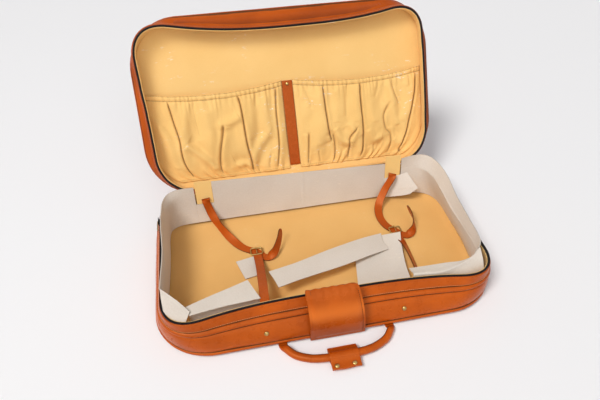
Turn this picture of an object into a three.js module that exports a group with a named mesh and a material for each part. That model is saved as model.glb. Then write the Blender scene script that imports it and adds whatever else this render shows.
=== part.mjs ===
// A soft leather suitcase, lying open on its base with the lid leaning back on its hinge.
// Millimetres, +Z up, +X along the case, +Y towards the hinge.
// The origin is the centre of the flat underside of the base.
import * as THREE from "three";

// Case: outline of both panels, and of the rim where the zip runs
const CASE_WIDTH = 600;
const CASE_DEPTH = 345;
const PANEL_CORNER_RADIUS = 97;
const RIM_SIDE_INSET = 15;
const RIM_FRONT_INSET = 1;
const RIM_BACK_INSET = 8;
const RIM_CORNER_RADIUS = 70;
const RIM_BOW = 33;
const BOW_POWER = 3;
const HALF_WIDTH = CASE_WIDTH / 2;
const HALF_DEPTH = CASE_DEPTH / 2;

// Depth of each shell, from the plane of the zip to the outside of its panel
const BASE_DEPTH = 76.3;
const LID_DEPTH = 44;
const BASE_WALL_POWER = 1;
const LID_WALL_POWER = 4.5;
const RIM_BAND = 8.5;
const LID_OPEN_DEG = 118;

// Thickness of the materials, and the gap kept between neighbours
const LEATHER = 2;
const LINING = 1;
const WALL_BOARD = 1.8;
const PANEL_BOARD = 2.5;
const CLEARANCE = 0.3;

// Panels: the flat middle, and the band round it that lifts towards the piping
const FLAT_INSET = 30;
const EDGE_LIFT = 5.5;
const PIPING_RADIUS = 3.2;
const PIPING_INSET = 1.5;
const PIPING_LIFT = 2.7;
const PANEL_EDGE_INSET = PIPING_INSET + PIPING_RADIUS + CLEARANCE;
const PANEL_LINING_INSET = 7;
const PANEL_BOARD_INSET = 8;

// Zip
const ZIP_GAP = 2.6;
const TEETH_RADIUS = 1.3;
const TAPE = 0.8;
const TAPE_DEPTH = 17;
const FACING_START = 9;
const BASE_FACING_WIDTH = 8;
const BASE_WELT_WIDTH = 12;
const LID_FACING_WIDTH = 6;
const LID_WELT_WIDTH = 7;
const WELT_RISE = 2.4;
const TAPE_INSET = LEATHER + CLEARANCE;
const ZIP_INSET = TAPE_INSET + TAPE / 2;
const TEETH_DEPTH = ZIP_GAP / 2 + TEETH_RADIUS;
const BOARD_INSET = TAPE_INSET + TAPE + 2 * CLEARANCE;
const LINING_INSET = BOARD_INSET + WALL_BOARD + CLEARANCE;
const WALL_THICKNESS = LINING_INSET + LINING;
const LINING_START = 6;

// Hinge along the back
const HINGE_ROLL_RADIUS = 2;
const HINGE_ROLL_LENGTH = 390;
const HINGE_LEAF = 0.8;
const HINGE_Y = HALF_DEPTH - RIM_BACK_INSET - ZIP_INSET;

// Zip sliders, parked at the hinge ends of the side runs
const SLIDER_LENGTH = 14;
const SLIDER_HEIGHT = 10;
const SLIDER_PLATE = 1;
const SLIDER_WEDGE = 1.8;
const SLIDER_INSET = 86.5;
const SLIDER_Y = HALF_DEPTH - SLIDER_INSET;
const PULLER_LENGTH = 24;
const PULLER_WIDTH = 6;
const PULLER_THICKNESS = 1.4;
const PULLER_PLAY = 0.5;

// Loose lining band inside the base
const BAND = 1.5;
const BAND_INSET = 12;
const BAND_FOOT = 12;
const BAND_HEIGHT = 107;
const SLOT_WIDTH = 34;
const SLOT_FOOT = 55;
const SLOT_INSET = 104;
const SLOT_X = HALF_WIDTH - SLOT_INSET;
const BAND_LEAN_DEG = 8.7;
const BAND_BACK_TOP_LEFT = 104;
const BAND_BACK_TOP_RIGHT = 90;
const BAND_END_CUT = 14;
const FOLD_HEIGHT = 62;
const FOLD_WIDTH = 46;
const TAB_MARGIN = 0.5;

// Packing straps and buckles
const STRAP_WIDTH = 16;
const STRAP = 2;
const BUCKLE_WIDTH = 25;
const BUCKLE_LENGTH = 19;
const BUCKLE_WIRE = 2.6;
const PRONG_RADIUS = 0.9;

// Handle and the wrap round its middle
const CORD_RADIUS = 6.5;
const HANDLE_X = -4;
const HANDLE_HALF_SPAN = 92;
const HANDLE_STAND_OFF = 44.5;
const HANDLE_REACH = HALF_DEPTH + HANDLE_STAND_OFF;
const HANDLE_PIVOT_INSET = 4.5;
const HANDLE_PIVOT_Y = HANDLE_PIVOT_INSET - HALF_DEPTH;
const TONGUE_HALF_WIDTH = 7.5;
const TONGUE_HALF_HEIGHT = 1.2;
const HANDLE_PIVOT_Z = TONGUE_HALF_HEIGHT + CLEARANCE;
const WRAP_WIDTH = 48;
const WRAP_WALL = 2;
const WRAP_BACK = 16;
const WRAP_FRONT = 23;
const WRAP_EDGE = 4;
const WRAP_CLEARANCE = 0.6;
const CORD_MIDDLE_Z = CORD_RADIUS + WRAP_WALL + WRAP_CLEARANCE;
const TAB_LENGTH = 11;

// Padded flap in front of the front wall
const FLAP_LEFT = -50;
const FLAP_RIGHT = 43;
const FLAP_TOP_RIGHT = 34;
const FLAP_THICKNESS = 4;
const FLAP_FOOT_Z = 4;
const FLAP_TOP_Z = 100;
const FLAP_TOP_INSET = 24.5;
const FLAP_TOP_Y = FLAP_TOP_INSET - HALF_DEPTH;
const FLAP_BULGE = 13;

// Brass studs
const STUD_RADIUS = 4;
const STUD_RISE = 2.2;
const SMALL_STUD_RADIUS = 3.4;

// Lid pocket and the leather strip down its middle
const POCKET_CLOTH = 1;
const POCKET_FOOT = 24;
const POCKET_MOUTH = 200;
const POCKET_SIDE_MARGIN = 16;
const POCKET_GAPE = 13;
const POCKET_FOLD = 1.7;
const POCKET_MOUTH_SHARE = 0.75;
const STRIP_WIDTH = 21;
const STRIP_FOOT = 31;
const STRIP_TOP = 205;

// Steps of the outline on each corner, along the front, and in the round of a bead
const CORNER_STEPS = 5;
const FRONT_STEPS = 8;
const BEAD_SIDE_COUNT = 6;

// Materials
const leather = new THREE.MeshStandardMaterial({ color: 0xb4602c, roughness: 0.5, metalness: 0 });
const yellowCloth = new THREE.MeshStandardMaterial({ color: 0xe6bb6a, roughness: 0.9, metalness: 0 });
const greyCard = new THREE.MeshStandardMaterial({ color: 0xb9b0a4, roughness: 0.95, metalness: 0 });
const board = new THREE.MeshStandardMaterial({ color: 0x8c7a62, roughness: 0.95, metalness: 0 });
const tapeCloth = new THREE.MeshStandardMaterial({ color: 0x1c191c, roughness: 0.85, metalness: 0 });
const zipMetal = new THREE.MeshStandardMaterial({ color: 0x2b2628, roughness: 0.45, metalness: 0.6 });
const brass = new THREE.MeshStandardMaterial({ color: 0xb08d45, roughness: 0.3, metalness: 1 });

// Closed solids from rows of points

// Turns the faces outwards, whichever way the rows ran.
function closedGeometry(points, faces) {
  let volume = 0;
  for (const [a, b, c] of faces) {
    volume += points[a].dot(new THREE.Vector3().crossVectors(points[b], points[c]));
  }
  const outward = volume < 0 ? faces.map(([a, b, c]) => [a, c, b]) : faces;
  const geometry = new THREE.BufferGeometry().setFromPoints(points);
  geometry.setIndex(outward.flat());
  geometry.computeVertexNormals();
  return geometry;
}

function middleOf(loop) {
  const sum = new THREE.Vector3();
  loop.forEach((point) => sum.add(point));
  return sum.divideScalar(loop.length);
}

// The two halves of a four-cornered patch, split along its shorter diagonal.
function splitPatch(points, a, b, c, d) {
  const first = points[a].distanceToSquared(points[c]);
  const second = points[b].distanceToSquared(points[d]);
  if (first <= second) return [[a, b, c], [a, c, d]];
  return [[a, b, d], [b, c, d]];
}

// Rows are closed loops of points. The solid runs through them and either closes on itself or gets two caps.
function loft(rows, closesOnItself) {
  const count = rows[0].length;
  const points = rows.flat();
  const faces = [];
  const joins = closesOnItself ? rows.length : rows.length - 1;
  for (let i = 0; i < joins; i += 1) {
    const next = (i + 1) % rows.length;
    for (let j = 0; j < count; j += 1) {
      const k = (j + 1) % count;
      faces.push(...splitPatch(points, i * count + j, next * count + j, next * count + k, i * count + k));
    }
  }
  if (!closesOnItself) {
    const last = (rows.length - 1) * count;
    const start = points.push(middleOf(rows[0])) - 1;
    const end = points.push(middleOf(rows[rows.length - 1])) - 1;
    for (let j = 0; j < count; j += 1) {
      const k = (j + 1) % count;
      faces.push([start, j, k]);
      faces.push([end, last + k, last + j]);
    }
  }
  return closedGeometry(points, faces);
}

// The way across a grid of points at one of them.
function gridNormal(grid, i, j) {
  const rowStep = new THREE.Vector3().subVectors(
    grid[Math.min(i + 1, grid.length - 1)][j],
    grid[Math.max(i - 1, 0)][j],
  );
  const columnStep = new THREE.Vector3().subVectors(
    grid[i][Math.min(j + 1, grid[i].length - 1)],
    grid[i][Math.max(j - 1, 0)],
  );
  return rowStep.cross(columnStep).normalize();
}

// A sheet of even thickness along a grid of points.
function sheet(grid, thickness) {
  const rows = grid.map((line, i) => {
    const front = line.map((p, j) => p.clone().addScaledVector(gridNormal(grid, i, j), thickness / 2));
    const back = line.map((p, j) => p.clone().addScaledVector(gridNormal(grid, i, j), -thickness / 2));
    return [...front, ...back.reverse()];
  });
  const count = rows[0].length;
  const half = count / 2;
  const points = rows.flat();
  const faces = [];
  for (let i = 0; i + 1 < rows.length; i += 1) {
    for (let j = 0; j < count; j += 1) {
      const k = (j + 1) % count;
      const here = i * count;
      const next = here + count;
      faces.push(...splitPatch(points, here + j, next + j, next + k, here + k));
    }
  }
  const last = (rows.length - 1) * count;
  for (let j = 0; j + 1 < half; j += 1) {
    const across = count - 1 - j;
    faces.push([j, j + 1, across - 1]);
    faces.push([j, across - 1, across]);
    faces.push([last + j, last + across - 1, last + j + 1]);
    faces.push([last + j, last + across, last + across - 1]);
  }
  return closedGeometry(points, faces);
}

function node(name, geometry, material) {
  const mesh = new THREE.Mesh(geometry, material);
  mesh.name = name;
  return mesh;
}

// Outlines of the case

// Half the outline of a rounded rectangle and its mirror image, from the middle of the back round by the left.
function roundedOutline(halfWidth, backY, frontY, radius, bow) {
  const points = [new THREE.Vector2(0, backY)];
  const corner = (centreY, startAngle) => {
    for (let i = 0; i <= CORNER_STEPS; i += 1) {
      const angle = startAngle + (i / CORNER_STEPS) * (Math.PI / 2);
      const x = -(halfWidth - radius) + radius * Math.cos(angle);
      points.push(new THREE.Vector2(x, centreY + radius * Math.sin(angle)));
    }
  };
  corner(backY - radius, Math.PI / 2);
  corner(frontY + radius, Math.PI);
  const straight = halfWidth - radius;
  for (let i = 1; i < FRONT_STEPS; i += 1) {
    points.push(new THREE.Vector2(straight * ((2 * i) / FRONT_STEPS - 1), frontY));
  }
  const left = points.slice(1, 2 * CORNER_STEPS + 3);
  left.reverse().forEach((p) => points.push(new THREE.Vector2(-p.x, p.y)));
  return points.map((p) => {
    const front = THREE.MathUtils.clamp((-p.y + frontY + radius) / radius, 0, 1);
    const across = Math.min(Math.abs(p.x) / halfWidth, 1);
    return new THREE.Vector2(p.x, p.y + bow * front * (1 - across ** BOW_POWER));
  });
}

const panelOutline = roundedOutline(HALF_WIDTH, HALF_DEPTH, -HALF_DEPTH, PANEL_CORNER_RADIUS, 0);
const rimOutline = roundedOutline(
  HALF_WIDTH - RIM_SIDE_INSET,
  HALF_DEPTH - RIM_BACK_INSET,
  -HALF_DEPTH + RIM_FRONT_INSET,
  RIM_CORNER_RADIUS,
  RIM_BOW,
);
const OUTLINE_COUNT = rimOutline.length;
const LEFT_CORNER_INDEX = 1;
const RIGHT_CORNER_INDEX = OUTLINE_COUNT - 1;

// The outline a share of the way from the rim to the panel, moved inwards by an inset.
function outlineAt(panelShare, inset) {
  const points = rimOutline.map((rim, i) => rim.clone().lerp(panelOutline[i], panelShare));
  return points.map((p, i) => {
    const before = points[(i + OUTLINE_COUNT - 1) % OUTLINE_COUNT];
    const after = points[(i + 1) % OUTLINE_COUNT];
    const along = after.clone().sub(before).normalize();
    return new THREE.Vector2(p.x - along.y * inset, p.y + along.x * inset);
  });
}

// The depth where the gusset ends, just before the piping.
function gussetEnd(shell) {
  return shell.depth - EDGE_LIFT - PIPING_LIFT - PIPING_RADIUS - CLEARANCE;
}

// How far a wall has spread from the rim to the panel at a depth below the zip, straight between its steps.
function wallShare(shell, depth) {
  const down = THREE.MathUtils.clamp((depth - RIM_BAND) / (gussetEnd(shell) - RIM_BAND), 0, 1);
  const steps = down * shell.wallSteps;
  const before = Math.min(Math.floor(steps), shell.wallSteps - 1);
  const shareAt = (step) => (step / shell.wallSteps) ** shell.wallPower;
  return THREE.MathUtils.lerp(shareAt(before), shareAt(before + 1), steps - before);
}

// One loop round the case, at an inset and a depth below the zip.
function caseLoop(shell, inset, depth) {
  const outline = outlineAt(wallShare(shell, depth), inset);
  return outline.map((p) => new THREE.Vector3(p.x, p.y, shell.side * depth));
}

// A section of inset and depth pairs, carried all the way round the case.
function caseRing(shell, section) {
  const loops = section.map(([inset, depth]) => caseLoop(shell, inset, depth));
  return loft(loops, true);
}

// The same, from one point of the outline to another.
function caseRun(shell, section, from, to) {
  const loops = section.map(([inset, depth]) => caseLoop(shell, inset, depth));
  const rows = [];
  for (let i = from; i <= to; i += 1) {
    const at = (i + OUTLINE_COUNT) % OUTLINE_COUNT;
    rows.push(loops.map((loop) => loop[at]));
  }
  return loft(rows, false);
}

// The section of a wall layer, with a point on each face at every level where the walls bend.
function wallSection(shell, outer, inner, from, to) {
  const levels = [from];
  for (let i = 0; i < shell.wallSteps; i += 1) {
    const level = THREE.MathUtils.lerp(RIM_BAND, gussetEnd(shell), i / shell.wallSteps);
    if (level > from && level < to) levels.push(level);
  }
  levels.push(to);
  const back = [...levels].reverse();
  return [...levels.map((level) => [outer, level]), ...back.map((level) => [inner, level])];
}

// A raised band: flat at the back, round at the front.
function weltSection(from, to) {
  const quarter = (to - from) / 4;
  return [
    [LEATHER, from],
    [0, from],
    [-WELT_RISE * 0.8, from + quarter],
    [-WELT_RISE, (from + to) / 2],
    [-WELT_RISE * 0.8, to - quarter],
    [0, to],
    [LEATHER, to],
  ];
}

function roundSection(inset, depth, radius) {
  const section = [];
  for (let i = 0; i < BEAD_SIDE_COUNT; i += 1) {
    const angle = (i / BEAD_SIDE_COUNT) * 2 * Math.PI;
    section.push([inset + radius * Math.cos(angle), depth + radius * Math.sin(angle)]);
  }
  return section;
}

// How far a panel's edge band lifts towards the zip, at an inset from the panel's outline.
function panelLift(inset) {
  const share = (FLAT_INSET - inset) / (FLAT_INSET - PANEL_EDGE_INSET);
  return EDGE_LIFT * THREE.MathUtils.clamp(share, 0, 1);
}

// A layer of a panel: flat in the middle, lifted round the edge.
function panelLayer(shell, edgeInset, above, thickness) {
  const lift = panelLift(edgeInset);
  const outer = shell.depth - above;
  const inner = outer - thickness;
  const loop = (inset, depth) => outlineAt(1, inset).map((p) => new THREE.Vector3(p.x, p.y, shell.side * depth));
  return loft(
    [
      loop(FLAT_INSET, outer),
      loop(edgeInset, outer - lift),
      loop(edgeInset, inner - lift),
      loop(FLAT_INSET, inner),
    ],
    false,
  );
}

// One shell of the case, with the zip in the plane z = 0

const BOARD_ABOVE = LEATHER + CLEARANCE;
const LINING_ABOVE = BOARD_ABOVE + PANEL_BOARD + CLEARANCE;
const FLOOR_ABOVE = LINING_ABOVE + LINING;

function makeShell(shell) {
  const group = new THREE.Group();
  const add = (name, geometry, material) => group.add(node(`${shell.name}_${name}`, geometry, material));
  const pipingDepth = shell.depth - EDGE_LIFT - PIPING_LIFT;
  const wallEnd = gussetEnd(shell);
  const facingEnd = FACING_START + shell.facingWidth;
  const weltStart = facingEnd + CLEARANCE;
  const weltEnd = weltStart + shell.weltWidth;
  const tapeStart = TEETH_DEPTH + TEETH_RADIUS + CLEARANCE;
  const leafStart = HINGE_ROLL_RADIUS + 2 * CLEARANCE;
  const wall = (outer, thickness, from, to) => wallSection(shell, outer, outer + thickness, from, to);
  const zipStart = LEFT_CORNER_INDEX + 1;
  const zipEnd = RIGHT_CORNER_INDEX - 1;

  add("panel", panelLayer(shell, PANEL_EDGE_INSET, 0, LEATHER), leather);
  add("panel_board", panelLayer(shell, PANEL_BOARD_INSET, BOARD_ABOVE, PANEL_BOARD), board);
  add("panel_lining", panelLayer(shell, PANEL_LINING_INSET, LINING_ABOVE, LINING), yellowCloth);
  add("piping", caseRing(shell, roundSection(PIPING_INSET, pipingDepth, PIPING_RADIUS)), leather);
  add("gusset", caseRing(shell, wall(0, LEATHER, weltEnd + CLEARANCE, wallEnd)), leather);
  add("welt", caseRing(shell, weltSection(weltStart, weltEnd)), leather);
  add("zip_facing", caseRing(shell, wall(0, LEATHER, FACING_START, facingEnd)), leather);
  add("wall_board", caseRing(shell, wall(BOARD_INSET, WALL_BOARD, FACING_START, wallEnd)), board);
  add("wall_lining", caseRing(shell, wall(LINING_INSET, LINING, LINING_START, wallEnd)), yellowCloth);

  const tape = wall(TAPE_INSET, TAPE, tapeStart, TAPE_DEPTH);
  add("zip_tape", caseRun(shell, tape, zipStart, zipEnd), tapeCloth);
  const teeth = roundSection(ZIP_INSET, TEETH_DEPTH, TEETH_RADIUS);
  add("zip_teeth", caseRun(shell, teeth, zipStart, zipEnd), zipMetal);
  const leaf = wall(ZIP_INSET - HINGE_LEAF / 2, HINGE_LEAF, leafStart, TAPE_DEPTH);
  add("hinge_leaf", caseRun(shell, leaf, -LEFT_CORNER_INDEX, LEFT_CORNER_INDEX), leather);
  return group;
}

const baseShell = {
  name: "base",
  side: -1,
  depth: BASE_DEPTH,
  wallPower: BASE_WALL_POWER,
  wallSteps: 2,
  facingWidth: BASE_FACING_WIDTH,
  weltWidth: BASE_WELT_WIDTH,
};
const lidShell = {
  name: "lid",
  side: 1,
  depth: LID_DEPTH,
  wallPower: LID_WALL_POWER,
  wallSteps: 5,
  facingWidth: LID_FACING_WIDTH,
  weltWidth: LID_WELT_WIDTH,
};

// Small shared shapes

// A domed stud head, standing on the plane z = 0.
function studGeometry(radius) {
  const profile = [
    new THREE.Vector2(0, 0),
    new THREE.Vector2(radius, 0),
    new THREE.Vector2(radius * 0.8, STUD_RISE * 0.65),
    new THREE.Vector2(0, STUD_RISE),
  ];
  return new THREE.LatheGeometry(profile, 12).rotateX(Math.PI / 2);
}

// A place in the base, from shares of the half width, the half depth and the base's depth.
function placeInBase([xShare, yShare, zShare]) {
  return new THREE.Vector3(xShare * HALF_WIDTH, yShare * HALF_DEPTH, zShare * BASE_DEPTH);
}

// A strap through a list of places. Each place's last number turns the strap about its run, in degrees.
function strapGeometry(route) {
  const curve = new THREE.CatmullRomCurve3(route.map(placeInBase));
  const turns = route.map((place) => place[3]);
  const steps = 3 * (route.length - 1);
  const rows = [];
  for (let i = 0; i <= steps; i += 1) {
    const along = (i / steps) * (route.length - 1);
    const before = Math.min(Math.floor(along), route.length - 2);
    const turn = THREE.MathUtils.lerp(turns[before], turns[before + 1], along - before);
    const place = curve.getPoint(i / steps);
    const run = curve.getTangent(i / steps);
    const across = new THREE.Vector3(-run.y, run.x, 0).normalize();
    across.applyAxisAngle(run, THREE.MathUtils.degToRad(turn));
    rows.push([
      place.clone().addScaledVector(across, -STRAP_WIDTH / 2),
      place.clone(),
      place.clone().addScaledVector(across, STRAP_WIDTH / 2),
    ]);
  }
  return sheet(rows, STRAP);
}

// The y of the outside of the front wall at the zip, at a given x.
function rimFrontY(x) {
  const front = rimOutline.slice(LEFT_CORNER_INDEX + CORNER_STEPS + 1, RIGHT_CORNER_INDEX - CORNER_STEPS);
  const after = Math.max(front.findIndex((p) => p.x >= x), 1);
  const share = (x - front[after - 1].x) / (front[after].x - front[after - 1].x);
  return THREE.MathUtils.lerp(front[after - 1].y, front[after].y, share);
}

// Hinge roll

function makeHingeRoll() {
  const geometry = new THREE.CylinderGeometry(HINGE_ROLL_RADIUS, HINGE_ROLL_RADIUS, HINGE_ROLL_LENGTH, 10);
  const roll = node("hinge_roll", geometry.rotateZ(Math.PI / 2), leather);
  roll.position.set(0, HINGE_Y, BASE_DEPTH);
  return roll;
}

// Zip sliders and pullers

// An H seen along the zip: one plate outside the teeth, one inside, and the wedge between the two rows.
function makeSlider(name, side) {
  const reach = TEETH_RADIUS + CLEARANCE;
  const outer = reach + SLIDER_PLATE;
  const halfHeight = SLIDER_HEIGHT / 2;
  const halfWedge = SLIDER_WEDGE / 2;
  const shape = new THREE.Shape();
  shape.moveTo(-outer, -halfHeight);
  shape.lineTo(-reach, -halfHeight);
  shape.lineTo(-reach, -halfWedge);
  shape.lineTo(reach, -halfWedge);
  shape.lineTo(reach, -halfHeight);
  shape.lineTo(outer, -halfHeight);
  shape.lineTo(outer, halfHeight);
  shape.lineTo(reach, halfHeight);
  shape.lineTo(reach, halfWedge);
  shape.lineTo(-reach, halfWedge);
  shape.lineTo(-reach, halfHeight);
  shape.lineTo(-outer, halfHeight);
  const geometry = new THREE.ExtrudeGeometry(shape, { depth: SLIDER_LENGTH, bevelEnabled: false });
  geometry.translate(0, 0, -SLIDER_LENGTH / 2).rotateX(Math.PI / 2);
  const slider = node(name, geometry, zipMetal);
  slider.position.set(side * (HALF_WIDTH - RIM_SIDE_INSET - ZIP_INSET), SLIDER_Y, BASE_DEPTH);
  return slider;
}

// A tapered plate along -Y, with its turning end at the slider's middle.
function makePuller(name, side) {
  const half = PULLER_WIDTH / 2;
  const end = PULLER_THICKNESS / 2;
  const shape = new THREE.Shape();
  shape.moveTo(end, -half / 2);
  shape.lineTo(-PULLER_LENGTH / 2, -half);
  shape.lineTo(-PULLER_LENGTH, -half * 0.8);
  shape.lineTo(-PULLER_LENGTH, half * 0.8);
  shape.lineTo(-PULLER_LENGTH / 2, half);
  shape.lineTo(end, half / 2);
  const geometry = new THREE.ExtrudeGeometry(shape, { depth: PULLER_THICKNESS, bevelEnabled: false });
  geometry.translate(0, 0, -PULLER_THICKNESS / 2).rotateX(Math.PI / 2).rotateZ(Math.PI / 2);
  const puller = node(name, geometry, brass);
  const plate = HALF_WIDTH - RIM_SIDE_INSET - ZIP_INSET + TEETH_RADIUS + CLEARANCE + SLIDER_PLATE;
  const x = plate + PULLER_PLAY + PULLER_THICKNESS / 2;
  puller.position.set(side * x, SLIDER_Y, BASE_DEPTH);
  return puller;
}

// Loose lining band

// The plane of the back part: its top stands near the hinge, its foot stands further in.
function leaningAtBack(mesh) {
  const topY = HALF_DEPTH - RIM_BACK_INSET - BAND_INSET;
  mesh.rotation.x = -THREE.MathUtils.degToRad(BAND_LEAN_DEG);
  mesh.position.y = topY - BAND_HEIGHT * Math.tan(THREE.MathUtils.degToRad(BAND_LEAN_DEG));
  return mesh;
}

// The straight part along the back. Above its two slots it is cut away to its ends.
function makeBandBack() {
  const half = HALF_WIDTH - RIM_SIDE_INSET - RIM_CORNER_RADIUS - CLEARANCE;
  const slotLow = SLOT_X - SLOT_WIDTH / 2;
  const shape = new THREE.Shape();
  shape.moveTo(-half, BAND_FOOT);
  shape.lineTo(half, BAND_FOOT);
  shape.lineTo(half, BAND_FOOT + BAND_END_CUT);
  shape.lineTo(half - BAND_END_CUT, SLOT_FOOT);
  shape.lineTo(slotLow, SLOT_FOOT);
  shape.lineTo(slotLow, BAND_BACK_TOP_RIGHT);
  shape.lineTo(-slotLow, BAND_BACK_TOP_LEFT);
  shape.lineTo(-slotLow, SLOT_FOOT);
  shape.lineTo(-half, SLOT_FOOT);
  const geometry = new THREE.ExtrudeGeometry(shape, { depth: BAND, bevelEnabled: false });
  geometry.translate(0, 0, -BAND / 2).rotateX(Math.PI / 2);
  return leaningAtBack(node("band_back", geometry, greyCard));
}

// Heights of the band round a back corner and along the side, as shares of its full height.
const SIDE_LEFT_TOP_SHARES = [0.88, 0.86, 0.84, 0.85, 0.88, 0.9, 0.88, 0.82, 0.73];
const SIDE_RIGHT_TOP_SHARES = [0.9, 0.93, 0.945, 0.93, 0.91, 0.9, 0.88, 0.82, 0.73];
const SIDE_LEAN = 7;

// It starts in the plane of the back part, and leans in from the side further on.
function makeBandSide(name, side, topShares) {
  const outline = outlineAt(0, BAND_INSET);
  const slope = Math.tan(THREE.MathUtils.degToRad(BAND_LEAN_DEG));
  const grid = topShares.map((share, i) => {
    const p = outline[LEFT_CORNER_INDEX + i];
    const inward = new THREE.Vector3(-p.x, 0, 0).normalize();
    const lean = Math.min(i, 3) / 3;
    return [BAND_FOOT, (BAND_FOOT + share * BAND_HEIGHT) / 2, share * BAND_HEIGHT].map((z, j) => {
      const y = p.y - (1 - lean) * slope * (BAND_HEIGHT - z);
      return new THREE.Vector3(p.x, y, z).addScaledVector(inward, j < 2 ? 0 : SIDE_LEAN * lean);
    });
  });
  grid.forEach((column) => column.forEach((p) => p.setX(-side * p.x)));
  return node(name, sheet(grid, BAND), greyCard);
}

// A front part: it stands at the wall, then is folded inwards. The stations run along x.
function makeFoldedFront(name, stationShares, widthShares, heightShare) {
  const height = heightShare * FOLD_HEIGHT;
  const grid = stationShares.map((xShare, i) => {
    const x = xShare * HALF_WIDTH;
    const wallY = rimFrontY(x) + WALL_THICKNESS + BAND + CLEARANCE;
    const width = widthShares[i] * FOLD_WIDTH;
    return [
      new THREE.Vector3(x, wallY, BAND_FOOT),
      new THREE.Vector3(x, wallY, height * 0.9),
      new THREE.Vector3(x, wallY + width * 0.12, height),
      new THREE.Vector3(x, wallY + width * 0.55, height * 1.03),
      new THREE.Vector3(x, wallY + width, height * 1.06),
    ];
  });
  return node(name, sheet(grid, BAND), greyCard);
}

const FRONT_LEFT_STATION_SHARES = [-0.86, -0.79, -0.7, -0.56, -0.43];
const FRONT_LEFT_WIDTH_SHARES = [0.3, 0.75, 0.95, 1, 1];
const FRONT_RIGHT_STATION_SHARES = [0.49, 0.6, 0.72, 0.8, 0.86];
const FRONT_RIGHT_WIDTH_SHARES = [0.7, 0.75, 0.7, 0.6, 0.3];

// Loose sheets of the band that have swung inwards, as rows of places in the base.
const TAB_LEFT_SHARES = [
  [[-0.46, -0.2, 0.096], [-0.485, -0.06, 0.19], [-0.5, 0.07, 0.29]],
  [[-0.41, -0.16, 0.12], [-0.41, 0.0, 0.22], [-0.41, 0.15, 0.31]],
];
const LONG_STRIP_SHARES = [
  [[-0.315, -0.3, 0.58], [-0.302, -0.395, 0.57], [-0.288, -0.49, 0.55]],
  [[-0.15, -0.2, 0.51], [-0.145, -0.305, 0.51], [-0.135, -0.42, 0.49]],
  [[0.1, -0.05, 0.43], [0.1, -0.18, 0.44], [0.1, -0.32, 0.42]],
  [[0.3, 0.07, 0.32], [0.3, -0.06, 0.335], [0.3, -0.2, 0.32]],
  [[0.445, 0.16, 0.184], [0.45, 0.03, 0.196], [0.455, -0.11, 0.204]],
];
const TAB_RIGHT_SHARES = [
  [[0.16, -0.7, 0.42], [0.33, -0.71, 0.42], [0.485, -0.72, 0.42]],
  [[0.2, -0.4, 0.25], [0.36, -0.4, 0.25], [0.515, -0.39, 0.25]],
  [[0.24, -0.1, 0.14], [0.4, -0.09, 0.165], [0.555, -0.07, 0.19]],
  [[0.27, 0.12, 0.098], [0.43, 0.14, 0.145], [0.585, 0.125, 0.205]],
];

function makeLooseSheet(name, shares) {
  const grid = shares.map((row) => row.map(placeInBase));
  return node(name, sheet(grid, BAND), greyCard);
}

// The yellow tab that stands in a slot of the band and holds a strap.
function makeYellowTab(name, side) {
  const height = BAND_HEIGHT - SLOT_FOOT - TAB_MARGIN;
  const geometry = new THREE.BoxGeometry(SLOT_WIDTH - 2 * TAB_MARGIN, LINING, height);
  geometry.translate(side * SLOT_X, 0, SLOT_FOOT + TAB_MARGIN + height / 2);
  return leaningAtBack(node(name, geometry, yellowCloth));
}

// Straps lie on the floor lining and pass under the buckle frames; the front straps end just before the frames
const LYING_Z = FLOOR_ABOVE + 3 * CLEARANCE + STRAP / 2;
const BUCKLE_Z = LYING_Z + STRAP / 2 + 2 * CLEARANCE + BUCKLE_WIRE / 2;
const LYING_SHARE = LYING_Z / BASE_DEPTH;
const BUCKLE_Z_SHARE = BUCKLE_Z / BASE_DEPTH;
const BUCKLE_Y_SHARE = 0.2;
const BUCKLE_LEFT_X_SHARE = -0.37;
const BUCKLE_RIGHT_X_SHARE = 0.565;
const STRAP_END_SHARE = BUCKLE_Y_SHARE - (BUCKLE_LENGTH / 2 + 3 * CLEARANCE) / HALF_DEPTH;

// Straps: shares of the half width, the half depth and the base's depth, then the turn in degrees
const REAR_LEFT_ROUTE_SHARES = [
  [-0.648, 0.826, 0.9, 3],
  [-0.645, 0.807, 0.76, 2],
  [-0.62, 0.75, 0.44, 0],
  [-0.585, 0.66, 0.18, 0],
  [-0.525, 0.47, 1.05 * LYING_SHARE, 0],
  [-0.455, 0.305, LYING_SHARE, 0],
  [BUCKLE_LEFT_X_SHARE, BUCKLE_Y_SHARE, LYING_SHARE, 0],
  [-0.315, 0.095, 1.11 * LYING_SHARE, 2],
  [-0.262, 0.105, 0.24, 60],
  [-0.22, 0.22, 0.35, 85],
  [-0.192, 0.36, 0.44, 88],
];
const REAR_RIGHT_ROUTE_SHARES = [
  [0.648, 0.811, 0.9, 0],
  [0.637, 0.785, 0.76, 0],
  [0.585, 0.735, 0.48, 0],
  [0.53, 0.63, 0.2, 0],
  [0.508, 0.48, 1.1 * LYING_SHARE, 0],
  [0.52, 0.32, LYING_SHARE, 0],
  [BUCKLE_RIGHT_X_SHARE, BUCKLE_Y_SHARE, LYING_SHARE, 0],
  [0.625, 0.1, 1.1 * LYING_SHARE, 6],
  [0.68, 0.14, 0.24, 60],
  [0.7, 0.27, 0.35, 85],
  [0.69, 0.43, 0.44, 88],
];
const FRONT_LEFT_ROUTE_SHARES = [
  [-0.388, -0.775, 0.86, 0],
  [-0.384, -0.68, 0.81, 0],
  [-0.375, -0.4, 0.57, 0],
  [-0.368, -0.1, 0.3, 0],
  [-0.367, 0.05, 0.175, 0],
  [-0.368, STRAP_END_SHARE, BUCKLE_Z_SHARE, 0],
];
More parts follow.
